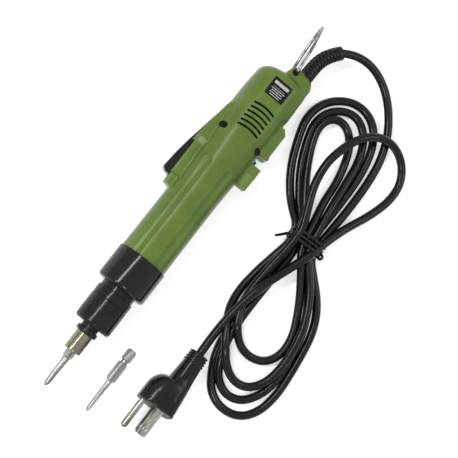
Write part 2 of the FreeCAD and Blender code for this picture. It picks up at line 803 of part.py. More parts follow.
# Motor
motor_shaft_radius = 1.6
bearing_radius = 4.0
small_bearing_length = 3.0
can_wall = 1.2
pinion_front = x_planet_in + 0.2
pinion = gear(sun_teeth, pinion_front, x_planet_in_end + 0.4)
pieces["motor_pinion"] = pinion.cut(cylinder(pinion_front - 1, x_motor + 5, motor_shaft_radius))
x_core = x_motor + 7.0
core_length = motor_length - 14.0
x_commutator = x_bell + 0.3
commutator_length = 4.4
commutator_radius = 4.6
x_shaft_end = x_fan + fan_length
pieces["motor_shaft"] = cylinder(pinion_front, x_shaft_end, motor_shaft_radius)
can = cylinder(x_motor, x_bell, motor_radius)
can = can.cut(cylinder(x_motor + can_wall, x_bell + 1, motor_radius - can_wall))
boss = tube(x_motor, x_motor + can_wall + small_bearing_length, bearing_radius + 1.2,
            bearing_radius + seat_gap / 5)
can = can.fuse(boss).cut(cylinder(x_motor - 1, x_motor + 9, bearing_radius + seat_gap / 5))
lip = tube(x_motor, x_motor + 0.8, bearing_radius + 0.6, motor_shaft_radius + 0.6)
pieces["motor_can"] = can.fuse(lip)
magnet = tube(x_core - 2, x_core + core_length + 2, motor_radius - can_wall - seat_gap / 5, 10.7)
gap_block = block(x_core - 4, x_core + core_length + 4, -3.2, 3.2, -20, 20)
pieces["motor_magnets"] = magnet.cut(gap_block)
core = tube(x_core, x_core + core_length, 10.3, motor_shaft_radius)
slot_cut = block(x_core - 1, x_core + core_length + 1, -0.6, 0.6, 6.0, 12)
slot_root = cylinder(x_core - 1, x_core + core_length + 1, 1.7, 0, 6.4)
for cutter in around(slot_cut.fuse(slot_root), 5):
    core = core.cut(cutter)
pieces["armature"] = core
segments = tube(x_commutator, x_commutator + commutator_length, commutator_radius,
                motor_shaft_radius)
for cutter in around(block(x_commutator - 1, x_bell_end, -0.2, 0.2, 3.4, 6), 5):
    segments = segments.cut(cutter)
pieces["commutator"] = segments
x_front_bearing = x_motor + 0.85
x_rear_bearing = x_bell_end - small_bearing_length
rings = bearing(x_front_bearing, x_front_bearing + small_bearing_length, bearing_radius,
                motor_shaft_radius + 0.02, 7)
rings += bearing(x_rear_bearing, x_rear_bearing + small_bearing_length, bearing_radius,
                 motor_shaft_radius + 0.02, 7)
pieces["motor_bearings"] = Part.makeCompound(rings)

# Brush holder with two brushes and their springs, level with the parting plane
brush_width = 3.6
brush_long = 3.8
x_brush = x_commutator + commutator_length / 2
holder = cylinder(x_bell, x_bell_end, motor_radius)
holder = holder.cut(cylinder(x_bell - 1, x_rear_bearing, commutator_radius + 0.9))
holder = holder.cut(cylinder(x_bell - 1, x_bell_end + 1, motor_shaft_radius + 0.6))
holder = holder.cut(cylinder(x_rear_bearing, x_bell_end + 1, bearing_radius + seat_gap / 5))
holder = holder.cut(block(x_brush - brush_long / 2 - seat_gap, x_brush + brush_long / 2 + seat_gap,
                          -motor_radius + 1, motor_radius - 1,
                          -brush_width / 2 - seat_gap, brush_width / 2 + seat_gap))
pieces["brush_holder"] = holder
brush = block(x_brush - brush_long / 2, x_brush + brush_long / 2,
              -brush_width / 2, brush_width / 2, commutator_radius, 9.6)
brush = brush.cut(cylinder(x_bell, x_bell_end, commutator_radius + running))
pieces["brushes"] = Part.makeCompound(around(brush, 2, 90))


def brush_spring():
    """Coil spring behind one brush, on +Z."""
    shape = coil(0, motor_radius - 1.1 - 9.7, 1.2, 0.2, 4)
    shape.rotate(origin, vector(0, 1, 0), -90)
    shape.translate(vector(x_brush, 0, 9.65))
    return shape


pieces["brush_springs"] = Part.makeCompound(around(brush_spring(), 2, 90))

# Cooling fan on the rear of the motor's shaft
fan_radius = 11.5
hub = tube(x_fan, x_fan + fan_length, 4.0, motor_shaft_radius)
disc = tube(x_fan, x_fan + 1.0, fan_radius, 3.0)
blade = block(x_fan, x_fan + fan_length, -0.4, 0.4, 3.0, fan_radius - 0.3)
pieces["cooling_fan"] = fused([hub, disc] + around(blade, 8))

# Start lever: swings in about the pin under the hump
lever_outline = [
    (lever_tip_x + 2.2, lever_tip_reach),
    (x_hump - 1.6, hump_reach + 0.9),
    (x_hump_end - 1.5, hump_end_reach + 0.7),
    (x_hump_end - 0.2, hump_end_reach - 0.9),
    (pivot_x + 2.0, pivot_y - 2.2),
    (pivot_x - 2.5, pivot_y - 2.2),
    (pivot_x - 10.5, body_waist_radius + 1.0),
    (nub_x + nub_half, body_waist_radius + 2.0),
    (nub_x + nub_half, nub_depth),
    (nub_x - nub_half, nub_depth),
    (nub_x - nub_half, body_waist_radius + 2.6),
    (x_hump + 2, body_waist_radius + 3.0),
    (lever_tip_x, lever_tip_reach - lever_depth),
    (lever_tip_x, lever_tip_reach - 2.2),
]
lever = prism(lever_outline, -lever_half, lever_half)
nub_slim = 1.8
for side in (1, -1):
    low = min(side * nub_slim, side * 6)
    high = max(side * nub_slim, side * 6)
    lever = lever.cut(block(nub_x - 4, nub_x + 4, nub_depth - 1, body_waist_radius + 2.4, low, high))
tip_edges = [e for e in lever.Edges if abs(e.CenterOfMass.z) < 0.01
             and e.CenterOfMass.x < lever_tip_x + 3 and e.CenterOfMass.y > lever_tip_reach - 4]
lever = lever.makeFillet(1.0, tip_edges)
lever = lever.cut(upright(pivot_x, pivot_y, pin_radius + running, -10, 10))
lever_spring_x = x_guard + 12.0
lever_spring_pocket = 24.0
lever_spring_radius = 1.9
lever_spring_wire = 0.3
lever = lever.cut(crosswise(lever_spring_x, 0, 2.5, 10, lever_spring_pocket))
pieces["start_lever"] = lever
pieces["lever_pin"] = upright(pivot_x, pivot_y, pin_radius, -pin_half + 0.1, pin_half - 0.1)
spring_foot = body_waist_radius + 0.5
lever_coil = coil(0, lever_spring_pocket - spring_foot - 0.1, lever_spring_radius,
                  lever_spring_wire, 5)
lever_coil.rotate(origin, vector(0, 0, 1), 90)
lever_coil.translate(vector(lever_spring_x, spring_foot, 0))
pieces["lever_spring"] = lever_coil

# Start switch under the lever's nub
plunger_radius = 1.2
plunger_in = 3.0
switch_body = block(switch_x0, switch_x0 + start_switch_length, switch_face - start_switch_depth,
                    switch_face, -switch_half_height, switch_half_height)
switch_body = switch_body.cut(crosswise(nub_x, 0, plunger_radius + running,
                                        switch_face - plunger_in - 2.0, switch_face + 1))
pieces["start_switch"] = switch_body
pieces["switch_plunger"] = crosswise(nub_x, 0, plunger_radius, switch_face - plunger_in,
                                     nub_depth - plunger_gap)

# Direction switch: its knob slides up and down between the two guard blocks
slide_face = 15.0
slide_depth = 5.6
slide_half_height = 5.4
knob = block(x_knob - knob_half_length, x_knob + knob_half_length, -knob_reach, -slide_face - 0.1,
             -knob_half_height, knob_half_height)
ridge = block(x_knob - knob_half_length, x_knob + knob_half_length, -knob_reach - 0.8,
              -knob_reach + 0.1, -0.5, 0.5)
stem = block(x_knob - 0.9, x_knob + 0.9, -slide_face - 0.2, -slide_face + 1.6, -1.2, 1.2)
pieces["direction_knob"] = fused([knob, ridge, stem])
slide_body = block(x_knob - 3.4, x_knob + 2.1, -slide_face, -slide_face + slide_depth,
                   -slide_half_height, slide_half_height)
slide_body = slide_body.cut(block(x_knob - 1.1, x_knob + 1.1, -slide_face - 1, -slide_face + 2.0,
                                  -1.4 - knob_travel, 1.4 + knob_travel))
pieces["direction_switch"] = slide_body

# Control board with its capacitor, bridge and terminals
pieces["control_board"] = block(board_x0, board_end, -board_half, board_half,
                                board_level, board_level + board_thick)
board_top = board_level + board_thick
capacitor_radius = 5.0
terminal_length = 8.0
terminal_level = board_top + 4.0
terminal_holes = (1.5, -3.5)
x_terminal = board_end - terminal_length
capacitor = cylinder(board_x0 + 3, x_terminal - 7, capacitor_radius, 6.0,
                     board_top + capacitor_radius)
bridge = block(board_x0 + 5, x_terminal - 6, -8.0, -4.5, board_top, board_top + 10)
terminal = block(x_terminal, board_end, -7.5, 5.5, board_top, board_top + 8)
for terminal_y in terminal_holes:
    terminal = terminal.cut(cylinder(x_terminal - 1, board_end + 1, 1.4, terminal_y,
                                     terminal_level))
pieces["board_parts"] = Part.makeCompound([capacitor, bridge, terminal])


def wire_run(points, radius):
    """Round lead along straight runs with round joints."""
    parts_of_run = []
    for start, end in zip(points, points[1:]):
        first = vector(*start)
        last = vector(*end)
        parts_of_run.append(Part.makeCylinder(radius, (last - first).Length, first, last - first))
    for middle in points[1:-1]:
        parts_of_run.append(Part.makeSphere(radius, vector(*middle)))
    return fused(parts_of_run)


lead = 0.45
lead_level = motor_radius + lead + 0.1
lead_wires = []
for side, terminal_y in zip((1, -1), terminal_holes):
    lead_wires.append(wire_run([
        (x_brush, side * 2.6, lead_level),
        (x_fan + fan_length + 2, side * 2.6, lead_level),
        (board_x0 + 1, side * 1.6, board_top + 9),
        (x_terminal - 6, side * 1.6, board_top + 9),
        (x_terminal - 2, terminal_y, terminal_level),
        (x_terminal + 2, terminal_y, terminal_level),
    ], lead))
    lead_wires.append(wire_run([
        (boot_x - 12.5, boot_y + 0.2 + side, 0),
        (boot_x - 16, terminal_y, terminal_level),
        (board_end - 1, terminal_y, terminal_level),
    ], lead))
pieces["lead_wires"] = Part.makeCompound(lead_wires)

# Bail: spring wire whose two bent ends enter the eyelet from above and below
bail_wire = 1.1
bail_seat = eyelet_radius - bail_wire - free_gap
bail_x = eyelet_x + bail_seat
bail_gap = 0.5
bail_level = corner_height + bail_gap + bail_wire
bail_length = 35.6
bail_end = 5.0              # length of the bent ends inside the eyelet
bail_tip_radius = 3.0


def rounded_path(points, radii):
    """Wire of straight runs joined by tangent arcs, and its length."""
    corners = [vector(*p) for p in points]
    edges = []
    start = corners[0]
    for index in range(1, len(corners) - 1):
        before = (corners[index - 1] - corners[index]).normalize()
        after = (corners[index + 1] - corners[index]).normalize()
        turn = math.pi - before.getAngle(after)
        radius = radii[index - 1]
        cut = radius * math.tan(turn / 2)
        first = corners[index] + before * cut
        last = corners[index] + after * cut
        bisector = (before + after).normalize()
        centre = corners[index] + bisector * (radius / math.cos(turn / 2))
        middle = centre - bisector * radius
        edges.append(Part.LineSegment(start, first).toShape())
        edges.append(Part.Arc(first, middle, last).toShape())
        start = last
    edges.append(Part.LineSegment(start, corners[-1]).toShape())
    return Part.Wire(edges)


def pipe(path, radius):
    """Round bar along a wire."""
    first = path.Edges[0]
    start = first.valueAt(first.FirstParameter)
    heading = first.tangentAt(first.FirstParameter)
    section = Part.Wire(Part.makeCircle(radius, start, heading))
    return path.makePipeShell([section], True, True)


bail_path = rounded_path([
    (bail_x, eyelet_y, corner_height - bail_end),
    (bail_x, eyelet_y, bail_level),
    (bail_x + 0.55 * bail_length, eyelet_y, bail_level - 1.0),
    (bail_x + bail_length - 1.2, eyelet_y, 0.9 * bail_tip_radius),
    (bail_x + bail_length - 1.2, eyelet_y, -0.9 * bail_tip_radius),
    (bail_x + 0.55 * bail_length, eyelet_y, -bail_level + 1.0),
    (bail_x, eyelet_y, -bail_level),
    (bail_x, eyelet_y, -corner_height + bail_end),
], [1.6, 14.0, 2.4, 2.4, 14.0, 1.6])
pieces["bail"] = pipe(bail_path, bail_wire)

# Cord boot: a ribbed sleeve that bends from the housing towards -Y
boot_core_radius = 4.3
boot_base_radius = 5.5
boot_tip_radius = 4.7
boot_rib_count = 8
boot_rib_length = 1.7
boot_end_x = boot_x + 26.9
boot_end_y = boot_y - 8.3
boot_path = rounded_path([
    (boot_x - 2.4, boot_y, 0),
    (boot_x + 13.5, boot_y - 0.6, 0),
    (boot_x + 22.0, boot_y - 4.4, -0.2),
    (boot_end_x, boot_end_y, -0.5),
], [28.0, 26.0])
boot_points = boot_path.discretize(Number=4 * boot_rib_count + 1)
ribs = []
for index in range(boot_rib_count):
    place = boot_points[4 * index + 1]
    ahead = boot_points[4 * index + 3]
    share = index / (boot_rib_count - 1.0)
    radius = boot_base_radius + (boot_tip_radius - boot_base_radius) * share
    ribs.append(Part.makeCylinder(radius, boot_rib_length, place, ahead - place))
cuff = Part.makeCylinder(boot_tip_radius, 2.6, boot_points[-1],
                         boot_points[-2] - boot_points[-1])
boot = pipe(boot_path, boot_core_radius)
for rib in ribs + [cuff]:
    boot = boot.fuse(rib)
lean = corner_lean / (2 * seat_half)
inside_of_seat = prism([
    (boot_x - 30, boot_y - 20),
    (boot_x - 20 * lean, boot_y - 20),
    (boot_x + 20 * lean, boot_y + 20),
    (boot_x - 30, boot_y + 20),
], -30, 30)
boot_sleeve = Part.makeCylinder(cord_radius + 0.5, 14, vector(boot_x - 12, boot_y + 0.2, 0), along)
pieces["cord_boot"] = boot.cut(inside_of_seat).fuse(boot_sleeve)

# Table height below the axis, and the frame's origin under the middle of the tool
axis_height = cap_radius
table = -axis_height
spare_y = -33.6
spare_x0 = 3.0
spare_length = 50.0
spare_z = table + hex_across / 2
pieces["spare_bit"] = bit(spare_x0, spare_x0 + spare_length, 1.9, 1.1, spare_x0 + 24.6,
                          spare_y, spare_z)

# Cord: lead from the boot, figure-eight hank with one loose loop, and the plug's tail.
# Points are (x, y, height over the table) along the cord's middle.
tie_x = 183.0
tie_y = -81.4
tie_half_width = 14.0
tie_top = 17.6
tie_length = 11.0
tie_face = tie_x + tie_length / 2
lead_reach = boot_end_x - tie_face
lead_points = [
    (boot_end_x, boot_end_y, 17.5),
    (tie_face + 1.0514 * lead_reach, -28.0, 16.6),
    (tie_face + 1.0742 * lead_reach, -41.5, 13.6),
    (tie_face + 1.04 * lead_reach, -55.8, 10.0),
    (tie_face + 0.9562 * lead_reach, -69.0, 7.2),
    (tie_face + 0.8344 * lead_reach, -80.4, 5.4),
    (tie_face + 0.6936 * lead_reach, -87.6, 4.6),
    (tie_face + 0.5281 * lead_reach, -91.4, 4.4),
    (tie_face + 0.353 * lead_reach, -92.4, 4.4),
    (tie_face + 0.1703 * lead_reach, -91.8, 4.4),
    (tie_face, -90.6, 4.4),
]
loop_points = [
    (tie_face, -91.4, 10.8),
    (206.0, -97.2, 8.4),
    (226.5, -104.8, 4.4),
    (243.0, -108.2, 3.4),
    (256.4, -106.0, 3.2),
    (266.6, -96.6, 5.6),
    (269.6, -83.4, 13.0),
    (264.2, -71.0, 18.6),
    (252.4, -63.0, 19.4),
    (237.0, -58.8, 18.8),
    (225.0, -58.6, 17.8),
    (212.6, -61.4, 16.8),
    (201.4, -66.4, 16.4),
    (tie_face, -72.6, 14.8),
]
plug_axis_y = -69.2
plug_neck_x = 78.0
plug_height = 12.6
tail_points = [
    (146.0, -69.6, 5.0),
    (131.0, -70.6, 4.0),
    (115.6, -69.4, 4.2),
    (101.4, -68.4, 6.8),
    (89.6, -68.8, 10.4),
    (plug_neck_x, plug_axis_y, plug_height),
]
smallest_turn = 3.0     # turning radius of the limp cord, in its diameters


def cord_radii(points):
    """Arc radius of each inner point, as large as its two runs allow."""
    corners = [vector(*p) for p in points]
    radii = []
    for index in range(1, len(corners) - 1):
        before = corners[index - 1] - corners[index]
        after = corners[index + 1] - corners[index]
        turn = math.pi - before.getAngle(after)
        shorter = min(before.Length, after.Length)
        radii.append(0.45 * shorter / math.tan(turn / 2))
    return radii


def cord(name, points):
    """Cord along its points, with its radii and volume printed."""
    radii = cord_radii(points)
    path = rounded_path([(x, y, table + z) for x, y, z in points], radii)
    shape = pipe(path, cord_radius)
    volume = math.pi * cord_radius ** 2 * path.Length
    print(name, "length %.1f" % path.Length, "volume share %.4f" % (shape.Volume / volume),
          "radii", [round(r) for r in radii])
    if min(radii) < smallest_turn * 2 * cord_radius:
        print(name, "turns too sharply")
    return shape


pieces["cord_lead"] = cord("cord_lead", lead_points)
pieces["cord_loop"] = cord("cord_loop", loop_points)
pieces["cord_tail"] = cord("cord_tail", tail_points)


def closed_outline(points, z):
    """Face inside a smooth closed curve through (x, y) points."""
    curve = Part.BSplineCurve()
    curve.interpolate(Points=[vector(x, y, z) for x, y in points], PeriodicFlag=True)
    return Part.Face(Part.Wire(curve.toShape()))


hank_height = 13.0
beyond = 100.0              # longer than anything that is cut away


def hank(outer, inner, side):
    """Outer shape of a bundle of turns: a closed band that ends flat at the tie."""
    loop = closed_outline(outer, table).cut(closed_outline(inner, table))
    solid = loop.extrude(vector(0, 0, hank_height))
    face = tie_x + side * tie_length / 2
    back = face - side * beyond
    return solid.cut(block(min(face, back), max(face, back), tie_y - beyond, tie_y + beyond,
                           table - 1, table + hank_height + 1))


pieces["cord_hank_upper"] = hank([
    (186.0, -87.0),
    (182.0, -78.0),
    (185.0, -68.6),
    (200.4, -50.0),
    (218.0, -38.6),
    (236.0, -31.4),
    (252.0, -27.6),
    (268.0, -33.6),
    (279.0, -46.0),
    (280.4, -58.0),
    (271.4, -72.0),
    (257.0, -80.4),
    (238.0, -86.4),
    (212.0, -88.2),
], [
    (204.0, -74.0),
    (210.0, -62.0),
    (222.0, -52.0),
    (238.0, -45.0),
    (254.0, -42.0),
    (264.0, -50.0),
    (260.0, -61.0),
    (246.0, -68.0),
    (228.0, -73.0),
], 1)
pieces["cord_hank_lower"] = hank([
    (178.0, -92.0),
    (162.0, -109.6),
    (148.0, -120.0),
    (130.0, -125.4),
    (108.0, -126.4),
    (88.0, -128.4),
    (71.0, -124.6),
    (61.6, -113.0),
    (62.4, -98.0),
    (70.6, -85.4),
    (84.0, -78.6),
    (100.0, -76.0),
    (118.0, -74.8),
    (138.0, -74.6),
    (158.0, -68.6),
    (176.0, -69.4),
    (183.0, -80.0),
], [
    (154.0, -92.0),
    (144.0, -103.0),
    (128.0, -110.0),
    (106.0, -112.0),
    (88.0, -112.6),
    (78.0, -104.0),
    (84.0, -94.0),
    (102.0, -90.0),
    (122.0, -89.0),
    (140.0, -87.4),
], -1)

# Tie: a twisted wire round the crossing of the hank
band = block(tie_x - tie_length / 2, tie_x + tie_length / 2, tie_y - tie_half_width,
             tie_y + tie_half_width, table, table + tie_top)
band = band.makeFillet(4.0, [e for e in band.Edges if abs(e.CenterOfMass.x - tie_x) < 0.01])
pieces["cord_tie"] = band

# Plug: moulded body with two flat blades and a round earth pin
plug_face_x = 29.8
blade_y = -69.4
earth_y = -57.5
blade_spacing = 12.7
blade_width = 6.35
blade_thick = 1.5
blade_length = 18.0
earth_radius = 2.4
earth_length = 20.6
plug_half_height = 12.4
plug_flat_y = -80.0
plug_shoulder_y = earth_y - 3.0
plug_body_end = 56.5
plug_bulge = 8.0            # radius of the rounded side over the earth pin
neck_start_radius = 10.0
neck_end_radius = 5.4
neck_half_height = 9.0
plug_root = 4.0             # length of the pins inside the body
earth_core_radius = 2.0
earth_collar = 0.5          # the earth pin's full radius starts this far before the face
plug_level = table + plug_height
main = block(plug_face_x, plug_body_end, plug_flat_y, plug_shoulder_y,
             plug_level - plug_half_height, plug_level + plug_half_height)
main = main.makeFillet(3.0, [e for e in main.Edges if abs(e.CenterOfMass.y - plug_flat_y) < 0.01
                             and abs(e.CenterOfMass.z - plug_level) > 1])
bulge_end = plug_body_end - 6.0
bulge_dome = Part.makeSphere(plug_bulge, vector(bulge_end, plug_shoulder_y, plug_level))
bulge = cylinder(plug_face_x, bulge_end, plug_bulge, plug_shoulder_y, plug_level)
neck = cone(plug_body_end - 0.01, plug_neck_x, neck_start_radius, neck_end_radius, plug_axis_y,
            plug_level)
plug_neck = neck.common(block(plug_body_end - 1, plug_neck_x + 1, plug_flat_y, plug_flat_y + beyond,
                              plug_level - neck_half_height, plug_level + neck_half_height))
plug_body = main.multiFuse([bulge, bulge_dome, plug_neck])
plug_pins = []
for side in (1, -1):
    level = plug_level + side * blade_spacing / 2
    flat = block(plug_face_x - blade_length, plug_face_x + plug_root, blade_y - blade_width / 2,
                 blade_y + blade_width / 2, level - blade_thick / 2, level + blade_thick / 2)
    ends = [e for e in flat.Edges if abs(e.CenterOfMass.x - plug_face_x + blade_length) < 0.01
            and abs(e.CenterOfMass.z - level) < 0.01]
    flat = flat.makeChamfer(1.4, ends)
    flat = flat.cut(upright(plug_face_x - blade_length + 5.0, blade_y, 1.6, level - 3, level + 3))
    plug_pins.append(flat)
earth_tip_x = plug_face_x - earth_length + earth_radius
earth_pin = cylinder(earth_tip_x, plug_face_x - earth_collar, earth_radius, earth_y, plug_level)
earth_core = cylinder(earth_tip_x, plug_face_x + plug_root, earth_core_radius, earth_y, plug_level)
earth_tip = Part.makeSphere(earth_radius, vector(earth_tip_x, earth_y, plug_level))
plug_pins.append(fused([earth_pin, earth_core, earth_tip]))
for pin in plug_pins:
    plug_body = plug_body.cut(pin)
pieces["plug_body"] = plug_body
pieces["plug_pins"] = Part.makeCompound(plug_pins)

# The frame: origin on the table under the middle of the tool and its spare bit
spare_reach = -spare_y + hex_across / math.sqrt(3)
back = bail_x + bail_length - 1.2 + bail_wire
middle_x = back / 2
middle_y = (lever_tip_reach - spare_reach) / 2

os.makedirs("parts", exist_ok=True)
for name, shape in pieces.items():
    if not shape.isValid():
        print("not valid:", name)
    shape.translate(vector(-middle_x, -middle_y, axis_height))
    shape.exportStep("parts/%s.step" % name)
print("pieces", len(pieces), "middle %.3f %.3f" % (middle_x, middle_y))
print("spindle axis height %.3f, eyelet at %.3f %.3f" % (axis_height, bail_x - middle_x,
                                                         eyelet_y - middle_y))
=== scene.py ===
import bmesh
import bpy
import json
import math
import numpy as np
from mathutils import Matrix, Vector


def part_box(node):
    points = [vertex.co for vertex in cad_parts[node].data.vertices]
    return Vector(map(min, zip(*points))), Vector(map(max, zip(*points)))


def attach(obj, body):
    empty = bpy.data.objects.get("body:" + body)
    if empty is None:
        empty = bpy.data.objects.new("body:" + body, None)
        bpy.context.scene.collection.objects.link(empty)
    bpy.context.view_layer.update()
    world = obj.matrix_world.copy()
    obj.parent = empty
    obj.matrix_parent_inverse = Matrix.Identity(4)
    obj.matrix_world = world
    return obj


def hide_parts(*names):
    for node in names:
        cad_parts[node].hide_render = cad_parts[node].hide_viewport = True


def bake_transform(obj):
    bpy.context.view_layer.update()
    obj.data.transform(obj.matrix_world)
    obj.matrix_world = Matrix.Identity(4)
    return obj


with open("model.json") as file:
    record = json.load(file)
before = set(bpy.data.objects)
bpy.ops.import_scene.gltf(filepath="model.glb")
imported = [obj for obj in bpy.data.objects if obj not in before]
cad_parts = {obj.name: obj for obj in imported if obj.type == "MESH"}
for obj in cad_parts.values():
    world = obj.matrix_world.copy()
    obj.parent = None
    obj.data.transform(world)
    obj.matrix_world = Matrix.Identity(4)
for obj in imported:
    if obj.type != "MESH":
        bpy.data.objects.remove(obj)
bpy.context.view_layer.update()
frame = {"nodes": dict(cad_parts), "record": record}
print("stage: frame loaded,", len(frame["nodes"]), "nodes")

# Sizes are in millimetres until at() turns them into the frame's metres.
# x is the station from the bit's tip along the tool, y and z are from the tool's axis.
mm = 0.001
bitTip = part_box("screwdriver_bit")[0].x
capLow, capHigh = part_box("nose_cap")
axisY = (capLow.y + capHigh.y) / 2
axisZ = (capLow.z + capHigh.z) / 2
table = -axisZ / mm                     # the table's level below the axis
scene = bpy.context.scene


def at(x, y=0.0, z=0.0):
    return Vector((bitTip + x * mm, axisY + y * mm, axisZ + z * mm))


def overTable(x, y, height):
    return at(x, y, table + height)


def placed(points):
    # array of (x, y, z) in stations to metres in the frame
    return np.asarray(points, float) * mm + np.array([bitTip, axisY, axisZ])


# Camera: nearly straight above, turned so that the tool runs up to the right
view = {
    "target": (155.0, -32.7, 0.0),
    "toCamera": (-0.156, 0.134, 0.979),
    "imageUp": (0.7815, 0.6228, 0.0391),
    "distance": 850.0,
    "frameWidth": 305.5,
}


def makeCamera():
    data = bpy.data.cameras.new("camera")
    data.sensor_width = 36
    data.lens = data.sensor_width * view["distance"] / view["frameWidth"]
    data.clip_start = 0.05
    data.clip_end = 20
    camera = bpy.data.objects.new("camera", data)
    scene.collection.objects.link(camera)
    back = Vector(view["toCamera"]).normalized()
    right = Vector(view["imageUp"]).cross(back).normalized()
    up = back.cross(right)
    turn = Matrix((right, up, back)).transposed().to_4x4()
    place = at(*view["target"]) + back * view["distance"] * mm
    camera.matrix_world = Matrix.Translation(place) @ turn
    scene.camera = camera


makeCamera()

# Light: an even white surround, one long soft lamp and a weaker one across from it
studio = {
    "surround": 0.5,
    "lamps": [
        {"name": "longLamp", "place": (-0.12, 0.42, 0.70), "size": (0.06, 0.8), "power": 4.4, "roll": 52},
        {"name": "wideLamp", "place": (0.45, -0.50, 0.70), "size": (0.4, 0.4), "power": 1.3, "roll": 0},
        {"name": "frontLamp", "place": (-0.38, -0.06, 0.70), "size": (0.11, 0.11), "power": 1.3, "roll": 0},
    ],
    "floorColour": 0.82,
    "floorGlow": 0.46,
}


def addMath(tree, operation, *values):
    # a math node: numbers are set on its inputs, sockets are linked to them
    node = tree.nodes.new("ShaderNodeMath")
    node.operation = operation
    for index, value in enumerate(values):
        if isinstance(value, (int, float)):
            node.inputs[index].default_value = value
        else:
            tree.links.new(value, node.inputs[index])
    return node.outputs[0]


def seenPath(tree):
    # 1 for what the camera sees straight, in a reflection or through something
    path = tree.nodes.new("ShaderNodeLightPath")
    seen = addMath(tree, "MAXIMUM", path.outputs["Is Camera Ray"], path.outputs["Is Glossy Ray"])
    return addMath(tree, "MAXIMUM", seen, path.outputs["Is Transmission Ray"])


def makeStudio():
    world = bpy.data.worlds.new("surround")
    scene.world = world
    world.use_nodes = True
    tree = world.node_tree
    strength = tree.nodes.new("ShaderNodeMapRange")
    strength.inputs["To Min"].default_value = studio["surround"]
    strength.inputs["To Max"].default_value = 1.0
    tree.links.new(seenPath(tree), strength.inputs["Value"])
    background = tree.nodes["Background"]
    background.inputs["Color"].default_value = (1, 1, 1, 1)
    tree.links.new(strength.outputs["Result"], background.inputs["Strength"])
    for lamp in studio["lamps"]:
        data = bpy.data.lights.new(lamp["name"], "AREA")
        data.shape = "RECTANGLE"
        data.size, data.size_y = lamp["size"]
        data.energy = lamp["power"]
        light = bpy.data.objects.new(lamp["name"], data)
        scene.collection.objects.link(light)
        aim = -Vector(lamp["place"])
        turn = aim.to_track_quat("-Z", "Y").to_matrix().to_4x4()
        roll = Matrix.Rotation(math.radians(lamp["roll"]), 4, "Z")
        light.matrix_world = Matrix.Translation(Vector(lamp["place"])) @ turn @ roll
    bpy.ops.mesh.primitive_grid_add(x_subdivisions=8, y_subdivisions=8, size=4.0, location=(0, 0, 0))
    floor = bpy.context.object
    floor.name = "floor"
    paint = bpy.data.materials.new("floorPaint")
    paint.use_nodes = True
    tree = paint.node_tree
    tree.nodes.remove(tree.nodes["Principled BSDF"])
    matte = tree.nodes.new("ShaderNodeBsdfDiffuse")
    shade = studio["floorColour"]
    matte.inputs["Color"].default_value = (shade, shade, shade, 1)
    glow = tree.nodes.new("ShaderNodeEmission")
    amount = addMath(tree, "MULTIPLY", seenPath(tree), studio["floorGlow"])
    tree.links.new(amount, glow.inputs["Strength"])
    both = tree.nodes.new("ShaderNodeAddShader")
    tree.links.new(matte.outputs[0], both.inputs[0])
    tree.links.new(glow.outputs[0], both.inputs[1])
    tree.links.new(both.outputs[0], tree.nodes["Material Output"].inputs["Surface"])
    floor.data.materials.append(paint)
    scene.view_settings.view_transform = "Standard"


makeStudio()
print("stage: camera and studio")


# Materials: every one varies over the surface by noise on Object coordinates.
# cloud and grain are counts per metre, rough is a range, stretch squeezes the pattern.
def colour(red, green, blue):
    linear = []
    for value in (red, green, blue):
        value = value / 255
        linear.append(value / 12.92 if value <= 0.04045 else ((value + 0.055) / 1.055) ** 2.4)
    return (*linear, 1.0)


